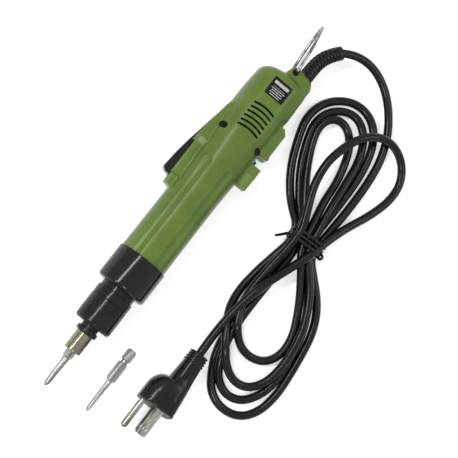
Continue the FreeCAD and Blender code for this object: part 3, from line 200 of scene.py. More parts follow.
looks = {
    "green_housing": {"light": (90, 113, 44), "dark": (77, 99, 34), "cloud": 45, "grain": 1500,
                      "rough": (0.24, 0.36), "bump": 0.14, "gloss": 0.28},
    "black_gloss": {"light": (14, 17, 18), "dark": (6, 8, 9), "cloud": 60, "grain": 1300,
                    "rough": (0.11, 0.18), "bump": 0.06, "gloss": 0.27},
    "black_anodised": {"light": (20, 22, 24), "dark": (9, 10, 11), "cloud": 90, "grain": 5200,
                       "rough": (0.13, 0.21), "bump": 0.05, "gloss": 0.22, "stretch": (1, 0.02, 0.02)},
    "black_steel": {"light": (30, 29, 31), "dark": (14, 14, 16), "cloud": 120, "grain": 4200,
                    "rough": (0.20, 0.34), "bump": 0.2, "gloss": 0.2, "stretch": (1, 0.03, 0.03)},
    # The sleeve's lengthwise streaks are partly random tone and partly painted reflection: the light bands
    # are a painted highlight and the near-black ones a painted dark reflection.
    "collar_brass": {"light": (150, 146, 124), "dark": (30, 28, 19), "cloud": 420,
                     "streak": (0.03, 1, 1), "grain": 6000,
                     "rough": (0.10, 0.20), "bump": 0.12, "metal": 1.0, "stretch": (1, 0.02, 0.02)},
    "bit_steel": {"light": (172, 171, 170), "dark": (86, 85, 86), "cloud": 420,
                  "streak": (0.08, 1, 1), "grain": 4200,
                  "rough": (0.26, 0.42), "bump": 0.2, "metal": 1.0, "stretch": (0.06, 1, 1)},
    "bright_steel": {"light": (166, 166, 168), "dark": (70, 70, 72), "cloud": 260, "grain": 5000,
                     "rough": (0.18, 0.28), "bump": 0.03, "metal": 1.0, "stretch": (0.08, 1, 1)},
    "spring_steel": {"light": (150, 150, 152), "dark": (96, 96, 100), "cloud": 260, "grain": 5000,
                     "rough": (0.25, 0.4), "bump": 0.15, "metal": 1.0},
    "gear_steel": {"light": (150, 148, 146), "dark": (104, 102, 100), "cloud": 240, "grain": 4600,
                   "rough": (0.28, 0.45), "bump": 0.15, "metal": 1.0},
    "bush_bronze": {"light": (196, 142, 84), "dark": (148, 100, 56), "cloud": 240, "grain": 3800,
                    "rough": (0.35, 0.5), "bump": 0.3, "metal": 1.0},
    "motor_zinc": {"light": (176, 178, 182), "dark": (132, 134, 140), "cloud": 70, "grain": 2400,
                   "rough": (0.32, 0.5), "bump": 0.12, "metal": 0.9},
    "magnet_ferrite": {"light": (62, 60, 60), "dark": (40, 38, 38), "cloud": 200, "grain": 3000,
                       "rough": (0.6, 0.8), "bump": 0.4},
    "core_iron": {"light": (104, 98, 94), "dark": (66, 62, 60), "cloud": 200, "grain": 3600,
                  "rough": (0.4, 0.6), "bump": 0.3, "metal": 0.8, "stretch": (6, 1, 1)},
    "carbon": {"light": (44, 43, 43), "dark": (26, 25, 25), "cloud": 400, "grain": 3600,
               "rough": (0.55, 0.75), "bump": 0.4},
    "inner_plastic": {"light": (40, 42, 44), "dark": (26, 27, 29), "cloud": 90, "grain": 2400,
                      "rough": (0.42, 0.58), "bump": 0.2},
    "board_green": {"light": (42, 92, 50), "dark": (24, 66, 36), "cloud": 300, "grain": 3000,
                    "rough": (0.35, 0.55), "bump": 0.15},
    "cord_pvc": {"light": (14, 17, 18), "dark": (6, 8, 9), "cloud": 70, "grain": 1700,
                 "rough": (0.14, 0.24), "bump": 0.08, "gloss": 0.24},
    "tie_plastic": {"light": (26, 26, 28), "dark": (12, 12, 13), "cloud": 200, "grain": 2600,
                    "rough": (0.26, 0.40), "bump": 0.25, "gloss": 0.2},
    "blade_nickel": {"light": (178, 177, 168), "dark": (92, 92, 84), "cloud": 300,
                     "streak": (0.2, 1, 1), "grain": 4200,
                     "rough": (0.18, 0.30), "bump": 0.03, "metal": 1.0, "stretch": (0.08, 1, 1)},
    # painted sheen: a lighter grey for the plug's forward faces, standing for the light they catch at a
    # grazing angle
    "plug_face_painted_sheen": {"light": (48, 50, 52), "dark": (32, 33, 35), "cloud": 140, "grain": 2000,
                  "rough": (0.4, 0.55), "bump": 0.2, "gloss": 0.2},
}


def addNoise(tree, source, scale, detail):
    noise = tree.nodes.new("ShaderNodeTexNoise")
    noise.inputs["Scale"].default_value = scale
    noise.inputs["Detail"].default_value = detail
    tree.links.new(source, noise.inputs["Vector"])
    return noise.outputs["Fac"]


def makeFinish(name, look):
    material = bpy.data.materials.new(name)
    material.use_nodes = True
    tree = material.node_tree
    shader = tree.nodes["Principled BSDF"]
    coordinates = tree.nodes.new("ShaderNodeTexCoord")
    mapping = tree.nodes.new("ShaderNodeMapping")
    mapping.inputs["Scale"].default_value = look.get("stretch", (1, 1, 1))
    tree.links.new(coordinates.outputs["Object"], mapping.inputs["Vector"])
    streaks = tree.nodes.new("ShaderNodeMapping")
    streaks.inputs["Scale"].default_value = look.get("streak", (1, 1, 1))
    tree.links.new(coordinates.outputs["Object"], streaks.inputs["Vector"])
    cloud = addNoise(tree, streaks.outputs["Vector"], look["cloud"], 3)
    grain = addNoise(tree, mapping.outputs["Vector"], look["grain"], 4)
    tone = tree.nodes.new("ShaderNodeMapRange")
    tone.inputs["From Min"].default_value = 0.32
    tone.inputs["From Max"].default_value = 0.68
    tree.links.new(cloud, tone.inputs["Value"])
    mix = tree.nodes.new("ShaderNodeMix")
    mix.data_type = "RGBA"
    mix.inputs[6].default_value = colour(*look["dark"])
    mix.inputs[7].default_value = colour(*look["light"])
    tree.links.new(tone.outputs["Result"], mix.inputs[0])
    tree.links.new(mix.outputs[2], shader.inputs["Base Color"])
    rough = tree.nodes.new("ShaderNodeMapRange")
    rough.inputs["From Min"].default_value = 0.3
    rough.inputs["From Max"].default_value = 0.7
    rough.inputs["To Min"].default_value = look["rough"][0]
    rough.inputs["To Max"].default_value = look["rough"][1]
    tree.links.new(grain, rough.inputs["Value"])
    tree.links.new(rough.outputs["Result"], shader.inputs["Roughness"])
    bump = tree.nodes.new("ShaderNodeBump")
    bump.inputs["Strength"].default_value = look["bump"]
    bump.inputs["Distance"].default_value = 0.0001
    tree.links.new(grain, bump.inputs["Height"])
    tree.links.new(bump.outputs["Normal"], shader.inputs["Normal"])
    shader.inputs["Metallic"].default_value = look.get("metal", 0.0)
    shader.inputs["Specular IOR Level"].default_value = look.get("gloss", 0.5)
    return material


finishes = {name: makeFinish(name, look) for name, look in looks.items()}


def stationsOf(line):
    # the reverse of placed(): metres in the frame to stations
    return (line - np.array([bitTip, axisY, axisZ])) / mm


def rectangle(x0, y0, x1, y1, fillet=0.0):
    return [(x0, y0, fillet), (x1, y0, fillet), (x1, y1, fillet), (x0, y1, fillet)]


def makePiece(name, points, faces, finishName, body, sharp=35, flip=False):
    # points are stations in millimetres
    mesh = bpy.data.meshes.new(name)
    mesh.from_pydata(placed(points).tolist(), [], [tuple(f) for f in faces])
    tidyMesh(mesh, sharp)
    piece = bpy.data.objects.new(name, mesh)
    scene.collection.objects.link(piece)
    mesh.materials.append(finishes[finishName])
    if body:
        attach(piece, body)
    return piece


def tidyMesh(mesh, sharp=35, merge=0.002):
    shape = bmesh.new()
    shape.from_mesh(mesh)
    bmesh.ops.remove_doubles(shape, verts=shape.verts, dist=merge * mm)
    bmesh.ops.recalc_face_normals(shape, faces=shape.faces)
    shape.to_mesh(mesh)
    shape.free()
    mesh.shade_smooth()
    mesh.set_sharp_from_angle(angle=math.radians(sharp))


def settle(piece, sharp=35):
    # turns what the modifiers give into the piece's own mesh
    depsgraph = bpy.context.evaluated_depsgraph_get()
    mesh = bpy.data.meshes.new_from_object(piece.evaluated_get(depsgraph))
    piece.modifiers.clear()
    piece.data = mesh
    mesh.shade_smooth()
    mesh.set_sharp_from_angle(angle=math.radians(sharp))
    return piece


def carve(piece, cutters):
    for cutter in cutters:
        knife = piece.modifiers.new("knife", "BOOLEAN")
        knife.operation = "DIFFERENCE"
        knife.solver = "EXACT"
        knife.object = cutter
        bpy.context.view_layer.update()
        settle(piece)
    for cutter in cutters:
        bpy.data.objects.remove(cutter)


def roundOff(corners, steps=6):
    # corners are (a, b, fillet) of a closed outline
    outline = []
    count = len(corners)
    for index in range(count):
        here = np.array(corners[index][:2], float)
        fillet = corners[index][2] if len(corners[index]) > 2 else 0.0
        before = np.array(corners[index - 1][:2], float) - here
        after = np.array(corners[(index + 1) % count][:2], float) - here
        if fillet <= 0:
            outline.append(tuple(here))
            continue
        reachBefore, reachAfter = np.linalg.norm(before), np.linalg.norm(after)
        before, after = before / reachBefore, after / reachAfter
        half = math.acos(max(-1.0, min(1.0, float(before @ after)))) / 2
        cut = min(fillet / math.tan(half), 0.48 * reachBefore, 0.48 * reachAfter)
        radius = cut * math.tan(half)
        middle = here + (before + after) / np.linalg.norm(before + after) * radius / math.sin(half)
        first, last = here + before * cut - middle, here + after * cut - middle
        sweep = math.acos(max(-1.0, min(1.0, float(first @ last) / radius ** 2)))
        for step in range(steps + 1):
            share = step / steps
            blend = (math.sin((1 - share) * sweep) * first + math.sin(share * sweep) * last)
            outline.append(tuple(middle + blend / math.sin(sweep)))
    return outline


def lathe(name, corners, finishName, body, turns=144, sharp=30):
    # closed profile of (x, radius, fillet) turned about the tool's axis
    outline = roundOff(corners)
    points, faces = [], []
    count = len(outline)
    for x, radius in outline:
        for step in range(turns):
            angle = 2 * math.pi * step / turns
            points.append((x, radius * math.cos(angle), radius * math.sin(angle)))
    for row in range(count):
        following = (row + 1) % count
        for step in range(turns):
            beside = (step + 1) % turns
            faces.append((row * turns + step, row * turns + beside,
                          following * turns + beside, following * turns + step))
    return makePiece(name, points, faces, finishName, body, sharp)


def gridFaces(rows, columns, start=0):
    faces = []
    for row in range(rows - 1):
        for column in range(columns - 1):
            corner = start + row * columns + column
            faces.append((corner, corner + 1, corner + columns + 1, corner + columns))
    return faces


def loft(name, sections, finishName, body, sharp=35):
    # rings of equal count, capped at both ends
    rings = [np.asarray(ring, float) for ring in sections]
    count = len(rings[0])
    points = np.concatenate(rings + [rings[0].mean(0)[None], rings[-1].mean(0)[None]])
    faces = []
    for row in range(len(rings) - 1):
        for step in range(count):
            beside = (step + 1) % count
            faces.append((row * count + step, row * count + beside,
                          (row + 1) * count + beside, (row + 1) * count + step))
    firstCap, lastCap = len(points) - 2, len(points) - 1
    lastRow = (len(rings) - 1) * count
    for step in range(count):
        beside = (step + 1) % count
        faces.append((firstCap, beside, step))
        faces.append((lastCap, lastRow + step, lastRow + beside))
    return makePiece(name, points, faces, finishName, body, sharp)


def slab(name, corners, z0, z1, finishName, body, bevel=0.0, segments=3):
    # prism over a closed outline of (x, y, fillet), its rims rounded by bevel
    outline = roundOff(corners)
    count = len(outline)
    points = [(x, y, z0) for x, y in outline] + [(x, y, z1) for x, y in outline]
    faces = [tuple(range(count)), tuple(range(count, 2 * count))]
    for step in range(count):
        beside = (step + 1) % count
        faces.append((step, beside, count + beside, count + step))
    piece = makePiece(name, points, faces, finishName, body)
    if bevel:
        rounding = piece.modifiers.new("rims", "BEVEL")
        rounding.width = bevel * mm
        rounding.segments = segments
        rounding.limit_method = "ANGLE"
        rounding.angle_limit = math.radians(50)
        settle(piece)
    return piece


def smoothPath(corners, samples):
    # the points along a spline that has these control points
    curve = bpy.data.curves.new("path", "CURVE")
    curve.dimensions = "3D"
    spline = curve.splines.new("NURBS")
    spline.points.add(len(corners) - 1)
    for point, corner in zip(spline.points, corners):
        point.co = (*corner, 1)
    spline.order_u = 3
    spline.use_endpoint_u = True
    curve.resolution_u = max(4, samples // len(corners) + 1)
    holder = bpy.data.objects.new("path", curve)
    scene.collection.objects.link(holder)
    depsgraph = bpy.context.evaluated_depsgraph_get()
    mesh = bpy.data.meshes.new_from_object(holder.evaluated_get(depsgraph))
    line = np.array([v.co for v in mesh.vertices])
    bpy.data.objects.remove(holder)
    reach = np.concatenate([[0], np.cumsum(np.linalg.norm(np.diff(line, axis=0), axis=1))])
    wanted = np.linspace(0, reach[-1], samples)
    return np.stack([np.interp(wanted, reach, line[:, k]) for k in range(3)], 1)


def alongPath(line, ring):
    # rings carried along a line without twisting; ring(k) gives (a, b) pairs in the cross plane
    line = np.asarray(line, float)
    heading = np.gradient(line, axis=0)
    heading /= np.linalg.norm(heading, axis=1)[:, None]
    side = np.cross(heading[0], (0, 0, 1))
    if np.linalg.norm(side) < 0.1:
        side = np.cross(heading[0], (0, 1, 0))
    rings = []
    for index, place in enumerate(line):
        side = side - heading[index] * (side @ heading[index])
        side /= np.linalg.norm(side)
        up = np.cross(side, heading[index])
        rings.append(np.array([place + a * side + b * up for a, b in ring(index)]))
    return rings


def circle(radius, steps=16, phase=0.0):
    return [(radius * math.cos(phase + 2 * math.pi * k / steps),
             radius * math.sin(phase + 2 * math.pi * k / steps)) for k in range(steps)]


# Cord: one spline, its points (station, y, height over the table) listed one by one.
# It leaves the boot, winds through the tie into the hank, makes a loose loop and ends in the plug.
cordSetup = {
    "diameter": 6.0,
    "resolution": 8,
    "lead": [
        (298.2, -19.6, 17.4), (303.8, -26.6, 16.8), (307.4, -42.4, 13.6), (302.6, -59.0, 10.0),
        (292.0, -72.6, 7.2), (278.4, -83.0, 5.4), (262.4, -89.4, 4.6), (244.0, -92.0, 4.4),
        (225.6, -92.4, 4.4), (206.4, -91.8, 4.4), (188.5, -90.6, 4.4),
    ],
    "hank": [
        # first turn below the tie, along the outside
        (177.0, -91.4, 4.0), (168.0, -101.5, 3.3), (159.1, -111.4, 3.2), (149.2, -119.2, 3.2),
        (136.6, -124.8, 3.2), (122.0, -127.4, 3.2), (105.4, -129.4, 3.2), (88.0, -130.4, 3.2),
        (72.4, -127.4, 3.2), (61.4, -118.8, 3.2), (58.4, -105.0, 3.2), (63.0, -92.6, 3.2),
        (74.0, -84.6, 3.2), (85.8, -79.0, 3.2), (99.4, -76.2, 3.2), (115.0, -75.6, 3.2),
        (131.0, -76.0, 3.2), (148.0, -76.0, 3.2), (164.0, -75.0, 3.2), (177.0, -73.0, 3.2),
        # first turn above it, outermost
        (189.4, -70.4, 3.2), (196.0, -60.6, 3.2), (205.2, -51.0, 3.2), (219.6, -41.2, 3.2),
        (237.4, -33.8, 3.2), (252.2, -29.6, 3.2), (266.2, -32.4, 3.2), (277.0, -41.2, 3.2),
        (282.8, -53.4, 3.2), (281.0, -66.0, 3.2), (272.8, -75.8, 3.2), (259.4, -82.0, 3.2),
        (240.8, -85.2, 3.2), (218.5, -85.4, 3.2), (196.6, -84.8, 3.2), (186.0, -84.7, 3.2),
        # second turn below, partly on the first
        (176.0, -86.6, 3.4), (167.0, -95.4, 3.4), (157.6, -104.6, 3.6), (147.4, -112.2, 3.6),
        (134.6, -118.4, 4.0), (120.0, -121.4, 4.2), (106.0, -123.6, 4.2), (93.6, -124.0, 4.0),
        (80.6, -120.4, 3.8), (70.6, -112.8, 3.6), (67.6, -101.8, 3.6), (72.4, -91.2, 5.0),
        (82.4, -83.6, 8.4), (95.0, -79.4, 9.2), (108.6, -77.6, 9.0), (124.0, -77.4, 8.8),
        (142.0, -78.0, 7.8), (160.0, -79.4, 5.6), (176.0, -79.2, 3.6),
        # second turn above, inside the first
        (188.4, -76.6, 3.4), (198.0, -66.4, 3.4), (208.4, -57.0, 3.4), (222.4, -47.4, 3.4),
        (238.2, -40.4, 3.4), (251.8, -36.4, 3.4), (263.6, -39.0, 3.6), (272.2, -47.2, 3.8),
        (274.8, -57.2, 4.2), (270.6, -66.4, 4.6), (262.2, -73.0, 5.0), (250.2, -77.6, 5.6),
        (232.5, -79.4, 7.2), (213.0, -81.0, 8.8), (196.0, -83.4, 9.2), (185.6, -84.7, 9.0),
        # third turn below, over the others on its way back
        (175.8, -88.0, 9.0), (166.6, -97.0, 9.0), (157.0, -105.2, 9.0), (147.0, -111.0, 9.0),
        (134.4, -116.4, 9.2), (119.4, -119.4, 9.2), (104.6, -120.6, 8.2), (90.6, -118.4, 6.8),
        (80.0, -110.8, 6.2), (77.8, -99.6, 7.4), (82.6, -88.4, 11.6), (92.4, -79.4, 14.4),
        (103.2, -72.4, 12.6), (114.6, -67.0, 7.4), (129.0, -65.4, 4.0), (146.0, -67.2, 3.8),
        (161.0, -69.8, 5.8), (176.0, -72.6, 8.8),
        # third turn above, on top of the left side
        (189.4, -73.0, 9.0), (200.6, -66.4, 8.8), (212.4, -58.2, 7.0), (225.6, -50.4, 5.4),
        (239.0, -44.0, 4.6), (251.0, -40.2, 5.4), (260.4, -42.6, 6.6), (264.8, -49.8, 6.8),
        (263.0, -58.4, 5.8), (256.0, -65.6, 4.6), (245.4, -70.6, 3.8), (230.4, -74.4, 3.6),
        (212.8, -75.2, 4.6), (198.0, -77.6, 7.8), (186.0, -79.0, 9.2),
        # fourth turn below, the shortest
        (176.2, -82.0, 9.6), (165.8, -90.6, 8.2), (153.6, -100.0, 6.4), (141.0, -108.0, 5.0),
        (126.6, -115.0, 4.0), (112.6, -116.2, 3.4), (101.8, -110.6, 3.4), (97.6, -100.4, 3.4),
        (99.0, -89.4, 6.2), (105.6, -79.0, 14.8), (118.0, -71.8, 12.8), (135.0, -70.4, 10.4),
        (154.0, -71.6, 11.2), (171.0, -73.0, 13.8), (181.0, -73.0, 14.6),
    ],
    "loop": [
        (188.5, -72.6, 14.8), (201.4, -66.4, 16.4), (212.6, -61.4, 16.8), (225.0, -58.6, 17.8),
        (237.4, -58.2, 18.8), (254.0, -62.4, 19.4), (267.6, -71.4, 18.6), (274.6, -85.2, 13.0),
        (272.0, -100.4, 5.6), (260.6, -110.6, 3.2), (245.4, -112.4, 3.4), (227.4, -107.4, 4.4),
        (206.0, -97.2, 8.4), (188.5, -91.4, 12.2),
    ],
    "tail": [
        (177.0, -88.4, 14.4), (166.0, -84.6, 13.6), (154.0, -80.0, 13.8), (142.0, -75.6, 14.6),
        (130.0, -72.2, 15.0), (116.6, -70.2, 13.6), (103.0, -69.2, 11.6), (90.0, -69.0, 11.8),
        (78.0, -69.2, 12.6), (73.0, -69.2, 12.6),
    ],
}


def makeCord():
    route = [overTable(*p) for part in ("lead", "hank", "loop", "tail") for p in cordSetup[part]]
    curve = bpy.data.curves.new("cord", "CURVE")
    curve.dimensions = "3D"
    spline = curve.splines.new("NURBS")
    spline.points.add(len(route) - 1)
    for point, place in zip(spline.points, route):
        point.co = (*place, 1)
    spline.order_u = 3
    spline.use_endpoint_u = True
    curve.resolution_u = cordSetup["resolution"]
    curve.bevel_depth = cordSetup["diameter"] / 2 * mm
    curve.bevel_resolution = 5
    curve.use_fill_caps = True
    curve.materials.append(finishes["cord_pvc"])
    piece = bpy.data.objects.new("cord", curve)
    scene.collection.objects.link(piece)
    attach(piece, "tool_body")
    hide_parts("cord_lead", "cord_loop", "cord_tail", "cord_hank_upper", "cord_hank_lower")
    line = smoothPath(route, 3000)
    length = float(np.linalg.norm(np.diff(line, axis=0), axis=1).sum())
    print("stage: cord, length %.3f m" % length)
    return piece, length, route[0]


cordPiece, cordLength, cordExit = makeCord()

# Housing: both halves are the same outside, found by casting rays at one smooth form
housing = {
    "front": 95.0, "face": 103.0, "neckRadius": 15.55, "boreRadius": 14.05,
    "frontRadius": 17.0, "waist": 153.4, "waistRadius": 16.8, "widest": 229.1, "widestRadius": 19.2,
    "shoulder": 250.0, "shoulderRadius": 18.4, "end": 260.6, "flat": 17.5, "wall": 2.2,
    "blend": 0.9, "grooveDepth": 0.25, "columns": 150,
    "flatBlend": 2.4, "fluteBlend": 0.8, "fluteRadius": 5.0, "fluteDepth": 0.75, "fluteAngle": 30.0,
    "fluteEnd": 179.0,
    "fanCentre": (250.0, -6.0), "fanRows": 46,
}
housingBlocks = {
    "stop": {"outline": [(150.2, 8), (152.5, 21.8), (161.1, 21.8), (161.1, 8)], "half": 5.7, "round": 1.0},
    "cheek": {"outline": [(160.1, 8), (160.1, 22.4), (186.7, 22.4), (186.7, 8)], "half": 7.6, "round": 0.8},
    "cheekRim": {"outline": [(160.1, 13), (160.1, 22.5), (161.1, 22.5), (161.1, 13)],
                 "half": 7.85, "round": 0.3, "blend": 0.3},
    "hump": {"outline": [(185.7, 8), (185.7, 24.2), (198.9, 22.8), (212.0, 20.9), (223.3, 18.3), (227.3, 8)],
             "half": [(185.7, 7.5), (190.6, 9.4), (206.0, 8.5), (223.3, 8.2)], "round": 1.4},
    "rearRim": {"outline": [(206.0, -14), (206.0, -23.7), (207.0, -23.7), (207.0, -14)],
                "half": 8.9, "round": 0.3, "blend": 0.3},
    "frontGuard": {"outline": [(181.0, -8), (181.0, -24.9), (198.0, -24.9), (198.0, -8)],
                   "half": [(181.0, 4.2), (190.6, 7.0)], "round": 0.5},
    "rearGuard": {"outline": [(206.0, -8), (206.0, -23.6), (226.3, -23.6), (229.8, -20.6), (229.8, -8)],
                  "half": 8.6, "round": 0.7, "blend": 2.4},
    "ridge": {"outline": [(190.5, -16), (190.5, -25.0), (191.6, -25.0), (191.6, -16)],
              "half": 7.25, "round": 0.3, "blend": 0.3},
    "corner": {"outline": [(236.0, 3.0), (263.2, 2.1), (267.5, 0.2), (268.2, -5.1), (265.2, -15.8),
                           (260.9, -17.9), (236.0, -17.6)], "half": 10.6, "round": 1.8, "blend": 4.0},
}


def barrelRadius(x):
    h = housing
    x = np.asarray(x, float)
    rise = np.clip((x - h["waist"]) / (h["widest"] - h["waist"]), 0, 1)
    rise = rise * rise * (3 - 2 * rise)
    front = np.clip((h["waist"] - x) / (h["waist"] - h["face"]), 0, 1)
    radius = h["waistRadius"] + (h["frontRadius"] - h["waistRadius"]) * front ** 2
    radius = radius + (h["widestRadius"] - h["waistRadius"]) * rise
    fall = np.clip((x - h["widest"]) / (h["shoulder"] - h["widest"]), 0, 1)
    return radius - (h["widestRadius"] - h["shoulderRadius"]) * fall ** 2


def polygonDistance(px, py, corners):
    nearest = np.full(px.shape, 1e9)
    inside = np.zeros(px.shape, bool)
    for index in range(len(corners)):
        ax, ay = corners[index]
        bx, by = corners[index - 1]
        ex, ey = bx - ax, by - ay
        wx, wy = px - ax, py - ay
        share = np.clip((wx * ex + wy * ey) / (ex * ex + ey * ey), 0, 1)
        nearest = np.minimum(nearest, (wx - ex * share) ** 2 + (wy - ey * share) ** 2)
        above, below, left = py >= ay, py < by, ex * wy > ey * wx
        inside ^= (above & below & left) | (~above & ~below & ~left)
    return np.where(inside, -1, 1) * np.sqrt(nearest)


def roundedPrism(flat, z, half, rounding):
    a = flat + rounding
    b = np.abs(z) - half + rounding
    return np.minimum(np.maximum(a, b), 0) + np.hypot(np.maximum(a, 0), np.maximum(b, 0)) - rounding


def blendMin(a, b, k):
    h = np.clip(0.5 + 0.5 * (b - a) / k, 0, 1)
    return b * (1 - h) + a * h - k * h * (1 - h)


def housingField(x, y, z):
    # below 0 inside the housing's outer form, about the distance elsewhere
    h = housing
    end = np.clip((x - h["shoulder"]) / (h["end"] - h["shoulder"]), 0, None)
    shrink = np.clip(1 - end ** 2.6, 0, 1) ** (1 / 2.6)
    radius = barrelRadius(np.minimum(x, h["shoulder"])) * shrink
    form = np.hypot(y, z) - radius
    form = np.where(x > h["end"], np.maximum(form, x - h["end"] + 0.01), form)
    form = -blendMin(-form, -(np.abs(z) - h["flat"]), h["flatBlend"])
    for angle in (h["fluteAngle"], -h["fluteAngle"]):
        reach = h["waistRadius"] - h["fluteDepth"] + h["fluteRadius"]
        gapY = y + reach * math.sin(math.radians(angle))
        gapZ = np.abs(z) - reach * math.cos(math.radians(angle))
        gapX = np.maximum(x - h["fluteEnd"], 0)
        cut = np.sqrt(gapX ** 2 + gapY ** 2 + gapZ ** 2) - h["fluteRadius"]
        form = -blendMin(-form, cut, h["fluteBlend"])
    low, high = x.min(), x.max()
    for block in housingBlocks.values():
        starts = min(p[0] for p in block["outline"]) - 3
        ends = max(p[0] for p in block["outline"]) + 3
        if high < starts or low > ends:
            continue
        flat = polygonDistance(x, y, block["outline"])
        half = block["half"]
        if isinstance(half, list):
            half = np.interp(x, [knot[0] for knot in half], [knot[1] for knot in half])
        form = blendMin(form, roundedPrism(flat, z, half, block["round"]), block.get("blend", h["blend"]))
    return form


def spacedRows():
    # stations along the housing, close together at its steps
    steps = [151.5, 152.1, 160.1, 181.0, 185.7, 191.0, 198.0, 206.0, 223.3, 226.3, 229.8, 238.6]
    rows = [103.05]
    while rows[-1] < housing["fanCentre"][0]:
        near = min(abs(rows[-1] - s) for s in steps)
        rows.append(rows[-1] + min(1.3, max(0.1, 0.3 * near)))
    rows[-1] = housing["fanCentre"][0]
    return rows


def castRays(starts, headings):
    reach = np.arange(8.0, 34.0, 0.2)
    points = starts[:, None, :] + headings[:, None, :] * reach[None, :, None]
    values = housingField(points[..., 0], points[..., 1], points[..., 2])
    inside = values < 0
    last = inside.shape[1] - 1 - np.argmax(inside[:, ::-1], axis=1)
    last = np.minimum(last, inside.shape[1] - 2)
    rows = np.arange(len(last))
    a, b = values[rows, last], values[rows, last + 1]
    distance = reach[last] + 0.2 * np.clip(-a / (b - a), 0, 1)
    return starts + headings * distance[:, None]


def housingAngles():
    edge = [0.0, 0.5, 1.2]
    middle = np.linspace(2.0, 178.0, housing["columns"])
    return np.radians(np.concatenate([edge, middle, [180 - a for a in reversed(edge)]]))


def outerRows():
    h = housing
    angles = housingAngles()
    ring = np.stack([np.zeros_like(angles), np.cos(angles), np.sin(angles)], 1)
    rows = [ring * h["neckRadius"] + (h["front"], 0, 0), ring * h["neckRadius"] + (h["face"], 0, 0)]
    rows.append(ring * (h["frontRadius"] - 0.45) + (h["face"] + 0.02, 0, 0))
    for x in spacedRows():
        share = np.clip((x - 228) / (h["fanCentre"][0] - 228), 0, 1)
        y = h["fanCentre"][1] * share * share * (3 - 2 * share)
        starts = np.tile((x, y, 0.0), (len(angles), 1))
        rows.append(castRays(starts, ring))
    for tilt in np.radians(np.linspace(0, 90, h["fanRows"])[1:]):
        heading = ring * math.cos(tilt)
        heading[:, 0] = math.sin(tilt)
        starts = np.tile((*h["fanCentre"], 0.0), (len(angles), 1))
        rows.append(castRays(starts, heading))
    for row in rows[3:]:
        for column in (0, -1):
            inward = row[column] - np.array([row[column][0], 0, 0])
            inward = inward / max(np.linalg.norm(inward), 1e-6)
            row[column] -= inward * h["grooveDepth"]
            row[column][2] = 0.0
    for row in rows:
        row[:, 2] = np.maximum(row[:, 2], 0.0)
        row[0][2] = row[-1][2] = 0.0
    return rows


def innerRows():
    h = housing
    angles = np.radians(np.linspace(0, 180, 49))
    ring = np.stack([np.zeros_like(angles), np.cos(angles), np.sin(angles)], 1)
    rows = []
    for x in list(np.arange(h["front"], 105.3, 2.05)) + list(np.linspace(106, 248, 60)):
        radius = h["boreRadius"] if x < 105.4 else float(barrelRadius(x)) - h["wall"]
        rows.append(ring * radius + (x, 0, 0))
    deepest = h["end"] - h["wall"]
    for turn in np.linspace(0, math.pi / 2, 14)[1:]:
        radius = (float(barrelRadius(248)) - h["wall"]) * math.cos(turn) ** 0.8
        rows.append(ring * max(radius, 0.0) + (248 + (deepest - 248) * math.sin(turn), 0, 0))
    for row in rows:
        row[:, 2] = np.clip(row[:, 2], 0, h["flat"] - h["wall"])
    return rows


def zipRuns(first, second, firstReach, secondReach):
    # faces between two runs of point numbers; reach says how far along each point lies
    faces = []
    i = j = 0
    while i < len(first) - 1 or j < len(second) - 1:
        ahead = firstReach[min(i + 1, len(first) - 1)]
        beside = secondReach[min(j + 1, len(second) - 1)]
        if j == len(second) - 1 or (i < len(first) - 1 and ahead <= beside):
            faces.append((first[i], first[i + 1], second[j]))
            i += 1
        else:
            faces.append((first[i], second[j + 1], second[j]))
            j += 1
    return faces


def halfShell():
    outer, inner = outerRows(), innerRows()
    columns, innerColumns = len(outer[0]), len(inner[0])
    points = np.concatenate(outer + inner)
    start = len(outer) * columns
    faces = gridFaces(len(outer), columns)
    faces += [tuple(reversed(f)) for f in gridFaces(len(inner), innerColumns, start)]
    outerLeft = [row * columns for row in range(len(outer))]
    outerRight = [row * columns + columns - 1 for row in range(len(outer))]
    innerLeft = [start + row * innerColumns for row in range(len(inner))]
    innerRight = [start + row * innerColumns + innerColumns - 1 for row in range(len(inner))]
    for outside, within in ((outerLeft, innerLeft), (outerRight, innerRight)):
        faces += zipRuns(outside, within, points[outside, 0], points[within, 0])
    front, innerFront = list(range(columns)), list(range(start, start + innerColumns))
    faces += zipRuns(front, innerFront, [k / (columns - 1) for k in range(columns)],
                     [k / (innerColumns - 1) for k in range(innerColumns)])
    return points, faces


openings = {
    "vents": {"first": 212.4, "pitch": 3.6, "count": 6, "bow": 30.0, "length": 17.0, "width": 1.6},
    "label": {"x0": 238.55, "x1": 252.05, "half": 7.35, "floor": 17.3},
    "upperScrews": {"x": 205.3, "y": 14.6, "radius": 2.6, "seat": 7.0},
    "lowerScrews": {"x": 248.1, "y": 11.6, "radius": 2.6, "seat": 10.5},
    "slot": {"half": 4.3, "outline": [(156.65, 17.2), (156.65, 40), (223.7, 40), (223.7, 17.2), (221.3, 13.4),
                                      (216.3, 13.4), (207.3, 16.6), (187.7, 17.2)]},
    "nubWindow": {"x0": 193.2, "x1": 199.2, "y0": 10.0, "y1": 17.4, "half": 2.6},
    "knobWindow": {"x0": 198.3, "x1": 202.1, "y0": -30.0, "y1": -10.0, "half": 4.1},
    "eyelet": {"x": 264.2, "y": -2.4, "radius": 2.3},
    "passage": {"x0": 252.7, "x1": 268.7, "y": -10.5, "radius": 3.6},
}


def cutterSlab(corners, z0, z1):
    return slab("cutter", corners, z0, z1, "green_housing", None)


def cutterBox(box):
    return cutterSlab(rectangle(box["x0"], box["y0"], box["x1"], box["y1"]), -box["half"], box["half"])


def cutterDisc(x, y, radius, z0, z1):
    return cutterSlab([(x + a, y + b) for a, b in circle(radius, 48)], z0, z1)


